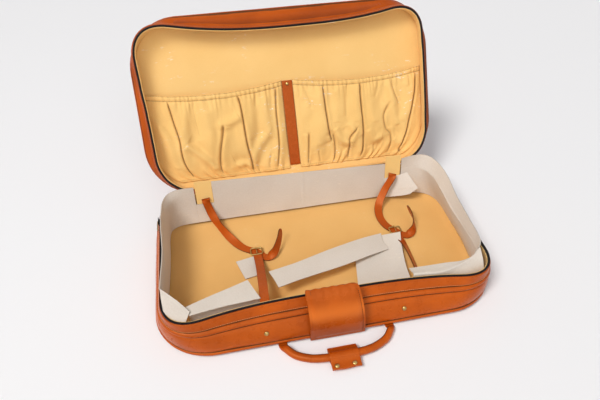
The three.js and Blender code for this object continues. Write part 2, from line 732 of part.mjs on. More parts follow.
const FRONT_RIGHT_ROUTE_SHARES = [
  [0.517, -0.76, 0.5, 0],
  [0.525, -0.66, 0.25, 0],
  [0.54, -0.5, 0.13, 0],
  [0.565, -0.2, 1.05 * LYING_SHARE, 0],
  [0.566, 0.01, 0.98 * BUCKLE_Z_SHARE, 0],
  [0.566, STRAP_END_SHARE, BUCKLE_Z_SHARE, 0],
];

// Buckles: a wire frame round the strap's run, and a prong lying on it
function makeBuckleFrame(name, xShare) {
  const outerX = BUCKLE_WIDTH / 2;
  const outerY = BUCKLE_LENGTH / 2;
  const shape = new THREE.Shape();
  shape.moveTo(-outerX, -outerY);
  shape.lineTo(outerX, -outerY);
  shape.lineTo(outerX, outerY);
  shape.lineTo(-outerX, outerY);
  const hole = new THREE.Path();
  hole.moveTo(-outerX + BUCKLE_WIRE, -outerY + BUCKLE_WIRE);
  hole.lineTo(-outerX + BUCKLE_WIRE, outerY - BUCKLE_WIRE);
  hole.lineTo(outerX - BUCKLE_WIRE, outerY - BUCKLE_WIRE);
  hole.lineTo(outerX - BUCKLE_WIRE, -outerY + BUCKLE_WIRE);
  shape.holes.push(hole);
  const geometry = new THREE.ExtrudeGeometry(shape, { depth: BUCKLE_WIRE, bevelEnabled: false });
  geometry.translate(0, 0, -BUCKLE_WIRE / 2);
  const frame = node(name, geometry, brass);
  frame.position.set(xShare * HALF_WIDTH, BUCKLE_Y_SHARE * HALF_DEPTH, BUCKLE_Z);
  return frame;
}

function makeProng(name, xShare) {
  const length = BUCKLE_LENGTH - BUCKLE_WIRE;
  const geometry = new THREE.CylinderGeometry(PRONG_RADIUS, PRONG_RADIUS, length, 8);
  const prong = node(name, geometry, brass);
  const z = BUCKLE_Z + BUCKLE_WIRE / 2 + CLEARANCE + PRONG_RADIUS;
  prong.position.set(xShare * HALF_WIDTH, BUCKLE_Y_SHARE * HALF_DEPTH + BUCKLE_WIRE / 2, z);
  return prong;
}

// Handle

// The left half of the handle's middle line: x and y as shares of the half span and the reach past the pivot,
// z as a share of the way from the pivot up to the cord's middle, and how far the tongue has become a cord.
const HANDLE_SHARES = [
  [1, 0, 0, 0],
  [1, 0.13, 0, 0],
  [1, 0.24, 0.35, 0.6],
  [0.96, 0.38, 0.7, 1],
  [0.82, 0.68, 0.75, 1],
  [0.58, 0.9, 0.85, 1],
  [0.34, 0.99, 1, 1],
  [0.16, 1, 1, 1],
];

// The rounded tip of a tongue, past the pivot.
const TONGUE_TIP_SHARE = 0.9;
const TONGUE_TIP_HEIGHT_SHARE = 0.35;

function makeHandle() {
  const reach = HANDLE_REACH + HANDLE_PIVOT_Y;
  const left = HANDLE_SHARES.map(([x, y, z, roundShare]) => ({
    place: new THREE.Vector3(
      HANDLE_X - x * HANDLE_HALF_SPAN,
      HANDLE_PIVOT_Y - y * reach,
      THREE.MathUtils.lerp(HANDLE_PIVOT_Z, CORD_MIDDLE_Z, z),
    ),
    roundShare,
  }));
  const tip = left[0].place.clone();
  tip.y += TONGUE_TIP_SHARE * TONGUE_HALF_HEIGHT;
  left.unshift({ place: tip, roundShare: 0, heightShare: TONGUE_TIP_HEIGHT_SHARE });
  const right = left.map((station) => {
    const place = station.place.clone().setX(2 * HANDLE_X - station.place.x);
    return { ...station, place };
  });
  const stations = [...left, ...right.reverse()];
  const rows = stations.map(({ place, roundShare, heightShare = 1 }, i) => {
    const before = stations[Math.max(i - 1, 0)].place;
    const after = stations[Math.min(i + 1, stations.length - 1)].place;
    const run = new THREE.Vector3().subVectors(after, before).setZ(0).normalize();
    const across = new THREE.Vector3(-run.y, run.x, 0);
    const halfWidth = THREE.MathUtils.lerp(TONGUE_HALF_WIDTH, CORD_RADIUS, roundShare);
    const halfHeight = heightShare * THREE.MathUtils.lerp(TONGUE_HALF_HEIGHT, CORD_RADIUS, roundShare);
    const loop = [];
    for (let j = 0; j < 10; j += 1) {
      const angle = (j / 10) * 2 * Math.PI;
      const point = place.clone().addScaledVector(across, halfWidth * Math.cos(angle));
      point.z += halfHeight * Math.sin(angle);
      loop.push(point);
    }
    return loop;
  });
  return node("handle", loft(rows, false), leather);
}

// A folded piece of leather round the cord, thin at its back edge and at the riveted front edge.
function makeHandleWrap() {
  const bore = CORD_RADIUS + WRAP_CLEARANCE;
  const round = bore + WRAP_WALL;
  const halfEdge = WRAP_EDGE / 2;
  const shape = new THREE.Shape();
  const seat = WRAP_FRONT - 2.6 * STUD_RADIUS;
  shape.moveTo(-WRAP_FRONT, halfEdge);
  shape.lineTo(-WRAP_FRONT, -halfEdge);
  shape.lineTo(-seat, -halfEdge);
  shape.absarc(0, 0, round, Math.PI * 1.2, Math.PI * 1.8, false);
  shape.lineTo(WRAP_BACK, -halfEdge);
  shape.lineTo(WRAP_BACK, halfEdge);
  shape.absarc(0, 0, round, Math.PI * 0.2, Math.PI * 0.8, false);
  shape.lineTo(-seat, halfEdge);
  const hole = new THREE.Path();
  hole.absarc(0, 0, bore, 0, 2 * Math.PI, true);
  shape.holes.push(hole);
  const geometry = new THREE.ExtrudeGeometry(shape, { depth: WRAP_WIDTH, bevelEnabled: false, curveSegments: 6 });
  geometry.translate(0, 0, -WRAP_WIDTH / 2).rotateY(Math.PI / 2).rotateX(Math.PI / 2);
  const wrap = node("handle_wrap", geometry, leather);
  wrap.position.set(HANDLE_X, -HANDLE_REACH, CORD_MIDDLE_Z);
  return wrap;
}

// The short tab under the panel's edge that one end of the handle turns against.
function makeHandleTab(name, side) {
  const shape = new THREE.Shape();
  shape.moveTo(-TONGUE_HALF_WIDTH, 0);
  shape.lineTo(TONGUE_HALF_WIDTH, 0);
  shape.lineTo(TONGUE_HALF_WIDTH * 0.8, TAB_LENGTH);
  shape.lineTo(-TONGUE_HALF_WIDTH * 0.8, TAB_LENGTH);
  const geometry = new THREE.ExtrudeGeometry(shape, { depth: LEATHER, bevelEnabled: false });
  const tab = node(name, geometry, leather);
  const y = HANDLE_PIVOT_Y + TONGUE_HALF_HEIGHT + CLEARANCE;
  tab.position.set(HANDLE_X + side * HANDLE_HALF_SPAN, y, CLEARANCE);
  return tab;
}

function makeWrapStud(name, xShare) {
  const stud = node(name, studGeometry(STUD_RADIUS), brass);
  const y = -HANDLE_REACH - WRAP_FRONT + 1.3 * STUD_RADIUS;
  stud.position.set(HANDLE_X + xShare * WRAP_WIDTH, y, CORD_MIDDLE_Z + WRAP_EDGE / 2 + CLEARANCE);
  return stud;
}

// Padded flap in front of the front wall: it leans back and bulges forward
function makeFrontFlap() {
  const footY = -HALF_DEPTH + PIPING_INSET - PIPING_RADIUS - CLEARANCE - FLAP_THICKNESS / 2;
  const grid = [];
  for (let i = 0; i <= 8; i += 1) {
    const up = i / 8;
    const bulge = FLAP_BULGE * Math.sin(Math.PI * up) * up ** 0.3;
    const y = THREE.MathUtils.lerp(footY, FLAP_TOP_Y, up ** 1.15) - bulge;
    const z = THREE.MathUtils.lerp(FLAP_FOOT_Z, FLAP_TOP_Z, up);
    const row = [];
    const right = THREE.MathUtils.lerp(FLAP_RIGHT, FLAP_TOP_RIGHT, up ** 2);
    for (let j = 0; j <= 4; j += 1) {
      row.push(new THREE.Vector3(THREE.MathUtils.lerp(FLAP_LEFT, right, j / 4), y, z));
    }
    grid.push(row);
  }
  return node("front_flap", sheet(grid, FLAP_THICKNESS), leather);
}

// A stud on the front gusset, square to its slope.
function makeGussetStud(name, xShare, zShare) {
  const x = xShare * HALF_WIDTH;
  const z = zShare * BASE_DEPTH;
  const share = wallShare(baseShell, BASE_DEPTH - z);
  const footY = -HALF_DEPTH;
  const wallY = THREE.MathUtils.lerp(rimFrontY(x), footY, share);
  const lean = Math.atan2(rimFrontY(x) - footY, BASE_DEPTH - EDGE_LIFT - RIM_BAND);
  const stud = node(name, studGeometry(STUD_RADIUS), brass);
  stud.rotation.x = Math.PI / 2 - lean;
  stud.position.set(x, wallY - 2 * CLEARANCE, z);
  return stud;
}

// Lid pocket and strip, in the lid's closed place with the zip in the plane z = 0

const POCKET_BACK = LID_DEPTH - FLOOR_ABOVE - 2 * CLEARANCE - POCKET_CLOTH / 2;

// Pleats of each half: where each starts at the mouth, where it ends at the foot, and how deep it is.
const LEFT_PLEAT_SHARES = [
  [0.12, 0.06, 0.8],
  [0.3, 0.2, 1],
  [0.5, 0.46, 0.7],
  [0.68, 0.62, 0.8],
  [0.87, 0.8, 1],
];
const RIGHT_PLEAT_SHARES = [
  [0.1, 0.12, 0.8],
  [0.28, 0.36, 1],
  [0.48, 0.52, 0.9],
  [0.66, 0.68, 0.7],
  [0.84, 0.86, 0.9],
];
const PLEAT_HALF_WIDTH_SHARE = 0.055;

// How far the pocket's rounded foot corner reaches from the middle of the lid, at a distance from its back edge.
function pocketReach(distance) {
  const radius = PANEL_CORNER_RADIUS - POCKET_SIDE_MARGIN;
  const past = Math.max(PANEL_CORNER_RADIUS - distance, 0);
  const centre = HALF_WIDTH - PANEL_CORNER_RADIUS;
  return centre + Math.sqrt(Math.max(radius ** 2 - past ** 2, 0));
}

function pleatDepth(pleats, across, up) {
  return pleats.reduce((sum, [mouth, foot, depthShare]) => {
    const line = THREE.MathUtils.lerp(foot, mouth, up);
    const away = (across - line) / PLEAT_HALF_WIDTH_SHARE;
    return sum + depthShare * Math.exp(-away * away);
  }, 0);
}

// How far inside the panel's outline a place is.
function panelInset(x, y) {
  const pastX = Math.abs(x) - (HALF_WIDTH - PANEL_CORNER_RADIUS);
  const pastY = Math.abs(y) - (HALF_DEPTH - PANEL_CORNER_RADIUS);
  const outside = Math.hypot(Math.max(pastX, 0), Math.max(pastY, 0));
  return PANEL_CORNER_RADIUS - outside - Math.min(Math.max(pastX, pastY), 0);
}

function makePocket(name, side, pleats) {
  const grid = [];
  const inner = STRIP_WIDTH / 2 + 4 * CLEARANCE;
  for (let i = 0; i <= 22; i += 1) {
    const across = i / 22;
    const row = [];
    for (let j = 0; j <= 8; j += 1) {
      const up = j / 8;
      const distance = THREE.MathUtils.lerp(POCKET_FOOT, POCKET_MOUTH, up);
      const x = THREE.MathUtils.lerp(inner, pocketReach(distance), across);
      const y = HALF_DEPTH - distance;
      const rise = Math.sin(Math.min(2 * up, 1) * (Math.PI / 2)) * THREE.MathUtils.lerp(1, POCKET_MOUTH_SHARE, up ** 2);
      const gape = POCKET_GAPE * rise * Math.sin(Math.PI * across) ** 0.5;
      const fold = POCKET_FOLD * pleatDepth(pleats, across, up) * Math.min(gape / POCKET_GAPE, 1);
      const lining = POCKET_BACK - panelLift(panelInset(x, y));
      row.push(new THREE.Vector3(side * x, y, lining - Math.max(gape - fold, 0)));
    }
    grid.push(row);
  }
  return node(name, sheet(grid, POCKET_CLOTH), yellowCloth);
}

function makeCentreStrip() {
  const length = STRIP_TOP - STRIP_FOOT;
  const strip = node("centre_strip", new THREE.BoxGeometry(STRIP_WIDTH, length, LEATHER), leather);
  const z = LID_DEPTH - FLOOR_ABOVE - CLEARANCE - LEATHER / 2;
  strip.position.set(0, HALF_DEPTH - (STRIP_FOOT + STRIP_TOP) / 2, z);
  return strip;
}

function makeCentreStud() {
  const stud = node("centre_stud", studGeometry(SMALL_STUD_RADIUS), brass);
  stud.rotation.x = Math.PI;
  const y = HALF_DEPTH - STRIP_TOP + 2 * SMALL_STUD_RADIUS;
  stud.position.set(0, y, LID_DEPTH - FLOOR_ABOVE - LEATHER - 2 * CLEARANCE);
  return stud;
}

// Assembly

function makeBase() {
  const shell = makeShell(baseShell);
  shell.position.z = BASE_DEPTH;
  const base = new THREE.Group();
  base.add(
    shell,
    makeHingeRoll(),
    makeBandBack(),
    makeBandSide("band_left", -1, SIDE_LEFT_TOP_SHARES),
    makeBandSide("band_right", 1, SIDE_RIGHT_TOP_SHARES),
    makeFoldedFront("band_front_left", FRONT_LEFT_STATION_SHARES, FRONT_LEFT_WIDTH_SHARES, 1),
    makeFoldedFront("band_front_right", FRONT_RIGHT_STATION_SHARES, FRONT_RIGHT_WIDTH_SHARES, 0.95),
    makeLooseSheet("band_tab_left", TAB_LEFT_SHARES),
    makeLooseSheet("band_long_strip", LONG_STRIP_SHARES),
    makeLooseSheet("band_tab_right", TAB_RIGHT_SHARES),
    makeYellowTab("strap_tab_left", -1),
    makeYellowTab("strap_tab_right", 1),
    node("strap_rear_left", strapGeometry(REAR_LEFT_ROUTE_SHARES), leather),
    node("strap_rear_right", strapGeometry(REAR_RIGHT_ROUTE_SHARES), leather),
    node("strap_front_left", strapGeometry(FRONT_LEFT_ROUTE_SHARES), leather),
    node("strap_front_right", strapGeometry(FRONT_RIGHT_ROUTE_SHARES), leather),
    makeBuckleFrame("buckle_left", BUCKLE_LEFT_X_SHARE),
    makeBuckleFrame("buckle_right", BUCKLE_RIGHT_X_SHARE),
    makeFrontFlap(),
    makeGussetStud("gusset_stud_left", -0.402, 0.37),
    makeGussetStud("gusset_stud_right", 0.38, 0.385),
    makeHandleTab("handle_tab_left", -1),
    makeHandleTab("handle_tab_right", 1),
  );
  return base;
}

// The handle, its wrap and studs turn together; so do a slider's puller and a buckle's prong by themselves.
function makeMovingPieces() {
  const group = new THREE.Group();
  group.add(
    makeHandle(),
    makeHandleWrap(),
    makeWrapStud("wrap_stud_left", -0.33),
    makeWrapStud("wrap_stud_right", 0.27),
    makeSlider("slider_left", -1),
    makeSlider("slider_right", 1),
    makePuller("puller_left", -1),
    makePuller("puller_right", 1),
    makeProng("prong_left", BUCKLE_LEFT_X_SHARE),
    makeProng("prong_right", BUCKLE_RIGHT_X_SHARE),
  );
  return group;
}

// The lid is built closed, then turned open about the hinge.
function makeLid() {
  const closed = makeShell(lidShell);
  closed.add(
    makePocket("pocket_left", -1, LEFT_PLEAT_SHARES),
    makePocket("pocket_right", 1, RIGHT_PLEAT_SHARES),
    makeCentreStrip(),
    makeCentreStud(),
  );
  closed.position.y = -HINGE_Y;
  const lid = new THREE.Group();
  lid.add(closed);
  lid.position.set(0, HINGE_Y, BASE_DEPTH);
  lid.rotation.x = -THREE.MathUtils.degToRad(LID_OPEN_DEG);
  return lid;
}

const suitcase = new THREE.Group();
suitcase.add(makeBase(), makeMovingPieces(), makeLid());

export default suitcase;
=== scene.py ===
import math
from contextlib import contextmanager

import bpy
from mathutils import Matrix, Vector, noise


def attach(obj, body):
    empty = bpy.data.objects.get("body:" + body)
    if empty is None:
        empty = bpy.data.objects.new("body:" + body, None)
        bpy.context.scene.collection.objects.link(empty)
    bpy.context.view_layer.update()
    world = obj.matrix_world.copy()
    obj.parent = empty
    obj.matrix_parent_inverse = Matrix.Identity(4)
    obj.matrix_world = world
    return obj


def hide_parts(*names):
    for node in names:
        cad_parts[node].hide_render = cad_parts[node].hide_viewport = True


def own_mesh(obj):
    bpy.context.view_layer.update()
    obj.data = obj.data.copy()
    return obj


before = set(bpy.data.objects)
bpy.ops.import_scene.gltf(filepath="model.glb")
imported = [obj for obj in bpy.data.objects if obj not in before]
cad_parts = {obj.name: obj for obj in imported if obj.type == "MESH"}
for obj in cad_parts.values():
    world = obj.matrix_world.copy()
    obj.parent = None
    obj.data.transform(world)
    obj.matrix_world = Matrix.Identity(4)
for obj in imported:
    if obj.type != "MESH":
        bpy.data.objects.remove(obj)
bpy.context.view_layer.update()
scene = bpy.context.scene
bpy.ops.object.select_all(action="DESELECT")

# Camera, fitted to the photograph's frame of 600 x 400
CAMERA_PLACE = (-0.15346, -0.64536, 0.74160)
CAMERA_TURN = (0.84443, 0.01182, -0.19891)
FOCAL_PIXELS = 512.33
FRAME_PIXELS = 600
SENSOR_WIDTH = 36

# Case
CASE_WIDTH = 0.600
CASE_DEPTH = 0.345
HALF_WIDTH = CASE_WIDTH / 2
HALF_DEPTH = CASE_DEPTH / 2
PANEL_CORNER_RADIUS = 0.097
RIM_SIDE_INSET = 0.015
RIM_FRONT_INSET = 0.001
RIM_BACK_INSET = 0.008
RIM_CORNER_RADIUS = 0.070
RIM_BOW = 0.033
BOW_POWER = 3
BASE_DEPTH = 0.0763
LID_DEPTH = 0.044
RIM_BAND = 0.0085
LID_OPEN = math.radians(118)

# Materials' thickness and the layers of a wall
LEATHER = 0.002
LINING = 0.001
CLEARANCE = 0.0003
BOARD = 0.0025
ZIP_INSET = 0.0027
TEETH_DEPTH = 0.0026
TAPE_REACH = 0.017
LINING_INSET = 0.0058
WALL_THICKNESS = LINING_INSET + LINING
FLOOR_ABOVE = LEATHER + BOARD + LINING + 2 * CLEARANCE
HINGE_Y = HALF_DEPTH - RIM_BACK_INSET - ZIP_INSET

# Panels and piping
FLAT_INSET = 0.030
FLAT_LOOP_INSETS = [0.045, 0.065]
EDGE_LIFT = 0.0055
PIPING_RADIUS = 0.0032
PIPING_INSET = 0.0015
PIPING_LIFT = 0.0027
PANEL_MERGE = 0.0004
MERGE = 0.00001
SMALL_ROUND = 0.0004
PANEL_EDGE_INSET = PIPING_INSET + PIPING_RADIUS + CLEARANCE

# Steps of the outlines
LONG_STEPS = 56
SIDE_STEPS = 14
CORNER_STEPS = 15
LEFT_END = LONG_STEPS // 2
OUTLINE_COUNT = 2 * LONG_STEPS + 2 * SIDE_STEPS + 4 * CORNER_STEPS
HINGE_END = LEFT_END + CORNER_STEPS // 5


# Small sums

def lerp(a, b, t):
    return a + (b - a) * t


def clamp(t, low=0.0, high=1.0):
    return max(low, min(high, t))


def ease(t):
    t = clamp(t)
    return t * t * (3 - 2 * t)


def hump(t, width):
    return math.exp(-((t / width) ** 2))


def wander(place, scale, seed=0.0):
    """Smooth noise between -1 and 1."""
    return noise.noise(Vector(place) * scale + Vector((seed, 2 * seed, -seed)))


def turn(count):
    """The cosine and sine of equal steps round a full turn."""
    angles = [k / count * 2 * math.pi for k in range(count)]
    return [(math.cos(angle), math.sin(angle)) for angle in angles]


# Smooth curves through points

def curve_point(points, t):
    """The place a share t of the way along a smooth line through the points."""
    last = len(points) - 1
    along = clamp(t) * last
    i = min(int(along), last - 1)
    s = along - i
    b, c = points[i], points[i + 1]
    a = points[i - 1] if i > 0 else b * 2 - c
    d = points[i + 2] if i + 2 <= last else c * 2 - b
    return 0.5 * ((2 * b) + (c - a) * s + (2 * a - 5 * b + 4 * c - d) * s**2 + (3 * b - a - 3 * c + d) * s**3)


def curve_run(points, t, step):
    """The way that a smooth line runs at a share t of its length, as a vector of any length."""
    return curve_point(points, min(t + step, 1)) - curve_point(points, max(t - step, 0))


def grid_of(rows, columns, place):
    """Rows of places, from a function of the share up and the share across."""
    return [[place(i / rows, j / columns) for j in range(columns + 1)] for i in range(rows + 1)]


def grid_normal(rows, i, j):
    """The direction square to a grid of places at one of them."""
    row = rows[i]
    up = rows[min(i + 1, len(rows) - 1)][j] - rows[max(i - 1, 0)][j]
    across = row[min(j + 1, len(row) - 1)] - row[max(j - 1, 0)]
    return up.cross(across).normalized()


def fine_rows(rows, along, across):
    """A coarse grid of places made finer, smoothly both ways."""
    wide = [[curve_point(row, j / across) for j in range(across + 1)] for row in rows]
    columns = [[curve_point([row[j] for row in wide], i / along) for i in range(along + 1)] for j in range(across + 1)]
    return [[columns[j][i] for j in range(across + 1)] for i in range(along + 1)]


# Meshes

def pick(piece):
    bpy.ops.object.select_all(action="DESELECT")
    piece.select_set(True)
    bpy.context.view_layer.objects.active = piece


def mesh_object(name, points, faces, uvs=None):
    mesh = bpy.data.meshes.new(name)
    mesh.from_pydata([tuple(p) for p in points], [], faces)
    if uvs:
        layer = mesh.uv_layers.new(name="Length")
        for loop in mesh.loops:
            layer.data[loop.index].uv = uvs[loop.index]
    mesh.update()
    piece = bpy.data.objects.new(name, mesh)
    scene.collection.objects.link(piece)
    return piece


def lengths(line, closed):
    """How far along a line each of its points is."""
    total = [0.0]
    for a, b in zip(line, line[1:] + (line[:1] if closed else [])):
        total.append(total[-1] + (b - a).length)
    return total


def grid_object(name, rows, wrap_rows=False, wrap_columns=False):
    """A surface through rows of places, with UVs in metres along its own surface."""
    count = len(rows[0])
    points = [p for row in rows for p in row]
    along = lengths(rows[len(rows) // 2], wrap_columns)
    across = lengths([row[count // 2] for row in rows], wrap_rows)
    faces, uvs = [], []
    for i in range(len(rows) if wrap_rows else len(rows) - 1):
        n = (i + 1) % len(rows)
        for j in range(count if wrap_columns else count - 1):
            k = (j + 1) % count
            faces.append((i * count + j, n * count + j, n * count + k, i * count + k))
            uvs += [(along[j + b], across[i + a]) for a, b in ((0, 0), (1, 0), (1, 1), (0, 1))]
    return mesh_object(name, points, faces, uvs)


def join(name, pieces):
    """Several objects made one mesh."""
    pick(pieces[0])
    for piece in pieces[1:]:
        piece.select_set(True)
    if len(pieces) > 1:
        bpy.ops.object.join()
    pieces[0].name = name
    pieces[0].data.name = name
    return pieces[0]


@contextmanager
def editing(piece):
    """Mesh editing, at first with all of the piece selected."""
    pick(piece)
    bpy.ops.object.mode_set(mode="EDIT")
    bpy.ops.mesh.select_all(action="SELECT")
    yield bpy.ops.mesh
    bpy.ops.object.mode_set(mode="OBJECT")


def face_outwards(piece, doubles=None):
    with editing(piece) as mesh:
        if doubles:
            mesh.remove_doubles(threshold=doubles)
        mesh.normals_make_consistent(inside=False)
        mesh.select_all(action="DESELECT")


def close_ends(piece):
    """Fills the open ends of a run."""
    with editing(piece) as mesh:
        mesh.select_all(action="DESELECT")
        mesh.select_mode(type="EDGE")
        mesh.select_non_manifold(
            extend=False, use_wire=False, use_multi_face=False, use_non_contiguous=False, use_verts=False)
        mesh.fill_holes(sides=200)
        mesh.select_mode(type="VERT")


def closed_run(name, rows):
    """A surface round a run of loops, with its ends filled."""
    piece = grid_object(name, rows, wrap_columns=True)
    close_ends(piece)
    return piece


def place_shape(name):
    """The shape just added, with its place, turn and size worked into its mesh."""
    piece = bpy.context.object
    bpy.ops.object.transform_apply(location=True, rotation=True, scale=True)
    piece.name = name
    return piece


def apply_modifier(piece, kind, **settings):
    pick(piece)
    modifier = piece.modifiers.new(kind.title(), kind)
    for key, value in settings.items():
        setattr(modifier, key, value)
    bpy.ops.object.modifier_apply(modifier=modifier.name)


def thicken(piece, thickness, offset=0.0):
    apply_modifier(piece, "SOLIDIFY", thickness=thickness, offset=offset)


def round_edges(piece, width, segments=2, angle=50):
    apply_modifier(
        piece, "BEVEL", width=width, segments=segments, limit_method="ANGLE", angle_limit=math.radians(angle))


def settle(piece, material, body, replaces=(), angle=None, doubles=None):
    """Outward faces, smooth shading, the material, the body that it moves with and the nodes it stands for."""
    face_outwards(piece, doubles)
    pick(piece)
    if angle:
        bpy.ops.object.shade_smooth_by_angle(angle=math.radians(angle))
    else:
        bpy.ops.object.shade_smooth()
    materials = material if isinstance(material, (list, tuple)) else [material]
    if not piece.data.materials:
        for one in materials:
            piece.data.materials.append(one)
    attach(piece, body)
    if replaces:
        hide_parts(*([replaces] if isinstance(replaces, str) else replaces))
    return piece


def dress_node(node, material):
    """Gives a solid that is shown as it is its material."""
    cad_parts[node].data.materials.clear()
    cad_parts[node].data.materials.append(material)


# Nodes of the materials

def feed(tree, sockets, values):
    """Gives each named socket its link, colour or number."""
    for key, value in values.items():
        socket = sockets[key]
        if isinstance(value, bpy.types.NodeSocket):
            tree.links.new(value, socket)
        else:
            socket.default_value = (*value, 1) if socket.type == "RGBA" else value


def add_node(tree, kind, inputs=None, **settings):
    node = tree.nodes.new(kind)
    for key, value in settings.items():
        setattr(node, key, value)
    feed(tree, node.inputs, inputs or {})
    return node


def maths(tree, operation, *values):
    return add_node(tree, "ShaderNodeMath", dict(enumerate(values)), operation=operation).outputs[0]


def times(tree, a, b):
    return maths(tree, "MULTIPLY", a, b)


def fit(tree, value, from_low, from_high, to_low=0.0, to_high=1.0, **settings):
    inputs = {"Value": value, "From Min": from_low, "From Max": from_high, "To Min": to_low, "To Max": to_high}
    return add_node(tree, "ShaderNodeMapRange", inputs, clamp=True, **settings).outputs["Result"]


def blend_colours(tree, share, a, b):
    return add_node(tree, "ShaderNodeMix", {0: share, 6: a, 7: b}, data_type="RGBA").outputs[2]


def noise_of(tree, where, scale, detail, roughness=0.5):
    inputs = {"Vector": where, "Scale": scale, "Detail": detail, "Roughness": roughness}
    return add_node(tree, "ShaderNodeTexNoise", inputs).outputs["Fac"]


def bump(tree, height, strength, distance, normal=None):
    inputs = {"Height": height, "Strength": strength, "Distance": distance}
    if normal:
        inputs["Normal"] = normal
    return add_node(tree, "ShaderNodeBump", inputs).outputs["Normal"]


def new_group(name, numbers, results):
    """A shader node group that takes places and numbers, each with its first value, and gives numbers."""
    group = bpy.data.node_groups.new(name, "ShaderNodeTree")
    group.interface.new_socket("Vector", in_out="INPUT", socket_type="NodeSocketVector")
    for label, value in numbers.items():
        group.interface.new_socket(label, in_out="INPUT", socket_type="NodeSocketFloat").default_value = value
    for label in results:
        group.interface.new_socket(label, in_out="OUTPUT", socket_type="NodeSocketFloat")
    return group, add_node(group, "NodeGroupInput").outputs, add_node(group, "NodeGroupOutput").inputs


def use_group(tree, group, where, **numbers):
    return add_node(tree, "ShaderNodeGroup", {"Vector": where, **numbers}, node_tree=group).outputs


def make_grain_group():
    """Fine pebbled leather grain: rounded cells with creases between them and tiny pores."""
    group, given, result = new_group("Leather grain", {"Scale": 900.0}, ("Height", "Pores"))
    inputs = {"Vector": given["Vector"], "Scale": given["Scale"], "Randomness": 0.9}
    cells = add_node(group, "ShaderNodeTexVoronoi", inputs, feature="DISTANCE_TO_EDGE").outputs["Distance"]
    fine = noise_of(group, given["Vector"], times(group, given["Scale"], 2.6), 2.0)
    height = maths(group, "ADD", times(group, fit(group, cells, 0.0, 0.16), 0.6), times(group, fine, 0.4))
    feed(group, result, {"Height": height, "Pores": fit(group, fine, 0.62, 0.72)})
    return group


def make_drift_group():
    """Slow drift of tone, as in dyed hide or cloth that has been handled."""
    group, given, result = new_group("Tone drift", {"Scale": 14.0}, ("Drift", "Mottle"))
    slow = noise_of(group, given["Vector"], given["Scale"], 4.0, 0.55)
    thin = noise_of(group, given["Vector"], times(group, given["Scale"], 5.0), 5.0, 0.65)
    feed(group, result, {"Drift": fit(group, slow, 0.3, 0.7), "Mottle": fit(group, thin, 0.35, 0.7)})
    return group


def make_weave_group():
    """Plain weave: two sets of threads, a number to the metre, over and under each other."""
    group, given, result = new_group("Plain weave", {"Threads": 1400.0}, ("Height", "Slubs"))
    inputs = {0: given["Vector"], 3: given["Threads"]}
    scaled = add_node(group, "ShaderNodeVectorMath", inputs, operation="SCALE").outputs[0]
    parts = add_node(group, "ShaderNodeSeparateXYZ", {"Vector": scaled}).outputs
    across, along = [maths(group, "SINE", times(group, parts[axis], math.pi)) for axis in "XY"]
    height = maths(group, "MULTIPLY_ADD", times(group, across, along), 0.5, 0.5)
    slubs = fit(group, noise_of(group, scaled, 0.35, 2.0), 0.35, 0.68)
    feed(group, result, {"Height": height, "Slubs": slubs})
    return group


def make_scuff_group():
    """Scattered short pale rubs, gathered in a few places."""
    group, given, result = new_group("Scuffs", {"Scale": 60.0, "Amount": 0.5}, ("Mask",))
    inputs = {0: given["Vector"], 1: (1.0, 2.6, 2.6)}
    stretched = add_node(group, "ShaderNodeVectorMath", inputs, operation="MULTIPLY").outputs[0]
    marks = noise_of(group, stretched, given["Scale"], 5.0, 0.7)
    places = noise_of(group, given["Vector"], times(group, given["Scale"], 0.16), 1.0)
    spots = times(group, fit(group, marks, 0.60, 0.66), fit(group, places, 0.53, 0.62))
    feed(group, result, {"Mask": times(group, spots, given["Amount"])})
    return group


GRAIN = make_grain_group()
DRIFT = make_drift_group()
WEAVE = make_weave_group()
SCUFFS = make_scuff_group()

# Scales of the noises, to the metre, and heights of their bumps in metres
HIDE_DRIFT = 13.0
HIDE_RUBS = 90.0
HIDE_WAVES = 55.0
HIDE_WAVE_HEIGHT = 0.0012
HIDE_RELIEF = 0.00012
HIDE_SHINE = (1.0, 0.52, 0.24)
CLOTH_DRIFT = 9.0
CLOTH_RUBS = 52.0
CLOTH_WAVES = 26.0
RUBBED_CLOTH = (0.95, 0.86, 0.72)
CREASE_SHADE_TONES = (0.18, 0.12, 0.1)
METAL_DRIFT = 160.0
METAL_DENTS = 700.0
METAL_DENT_HEIGHT = 0.0001
BOARD_DRIFT = 60.0
BOARD_RELIEF = 0.0003


def new_material(name):
    """A material, its nodes, the inputs of its shader and the places of its surface."""
    material = bpy.data.materials.new(name)
    material.use_nodes = True
    tree = material.node_tree
    tree.nodes.clear()
    shader = add_node(tree, "ShaderNodeBsdfPrincipled")
    add_node(tree, "ShaderNodeOutputMaterial", {"Surface": shader.outputs[0]})
    return material, tree, shader.inputs, add_node(tree, "ShaderNodeTexCoord").outputs


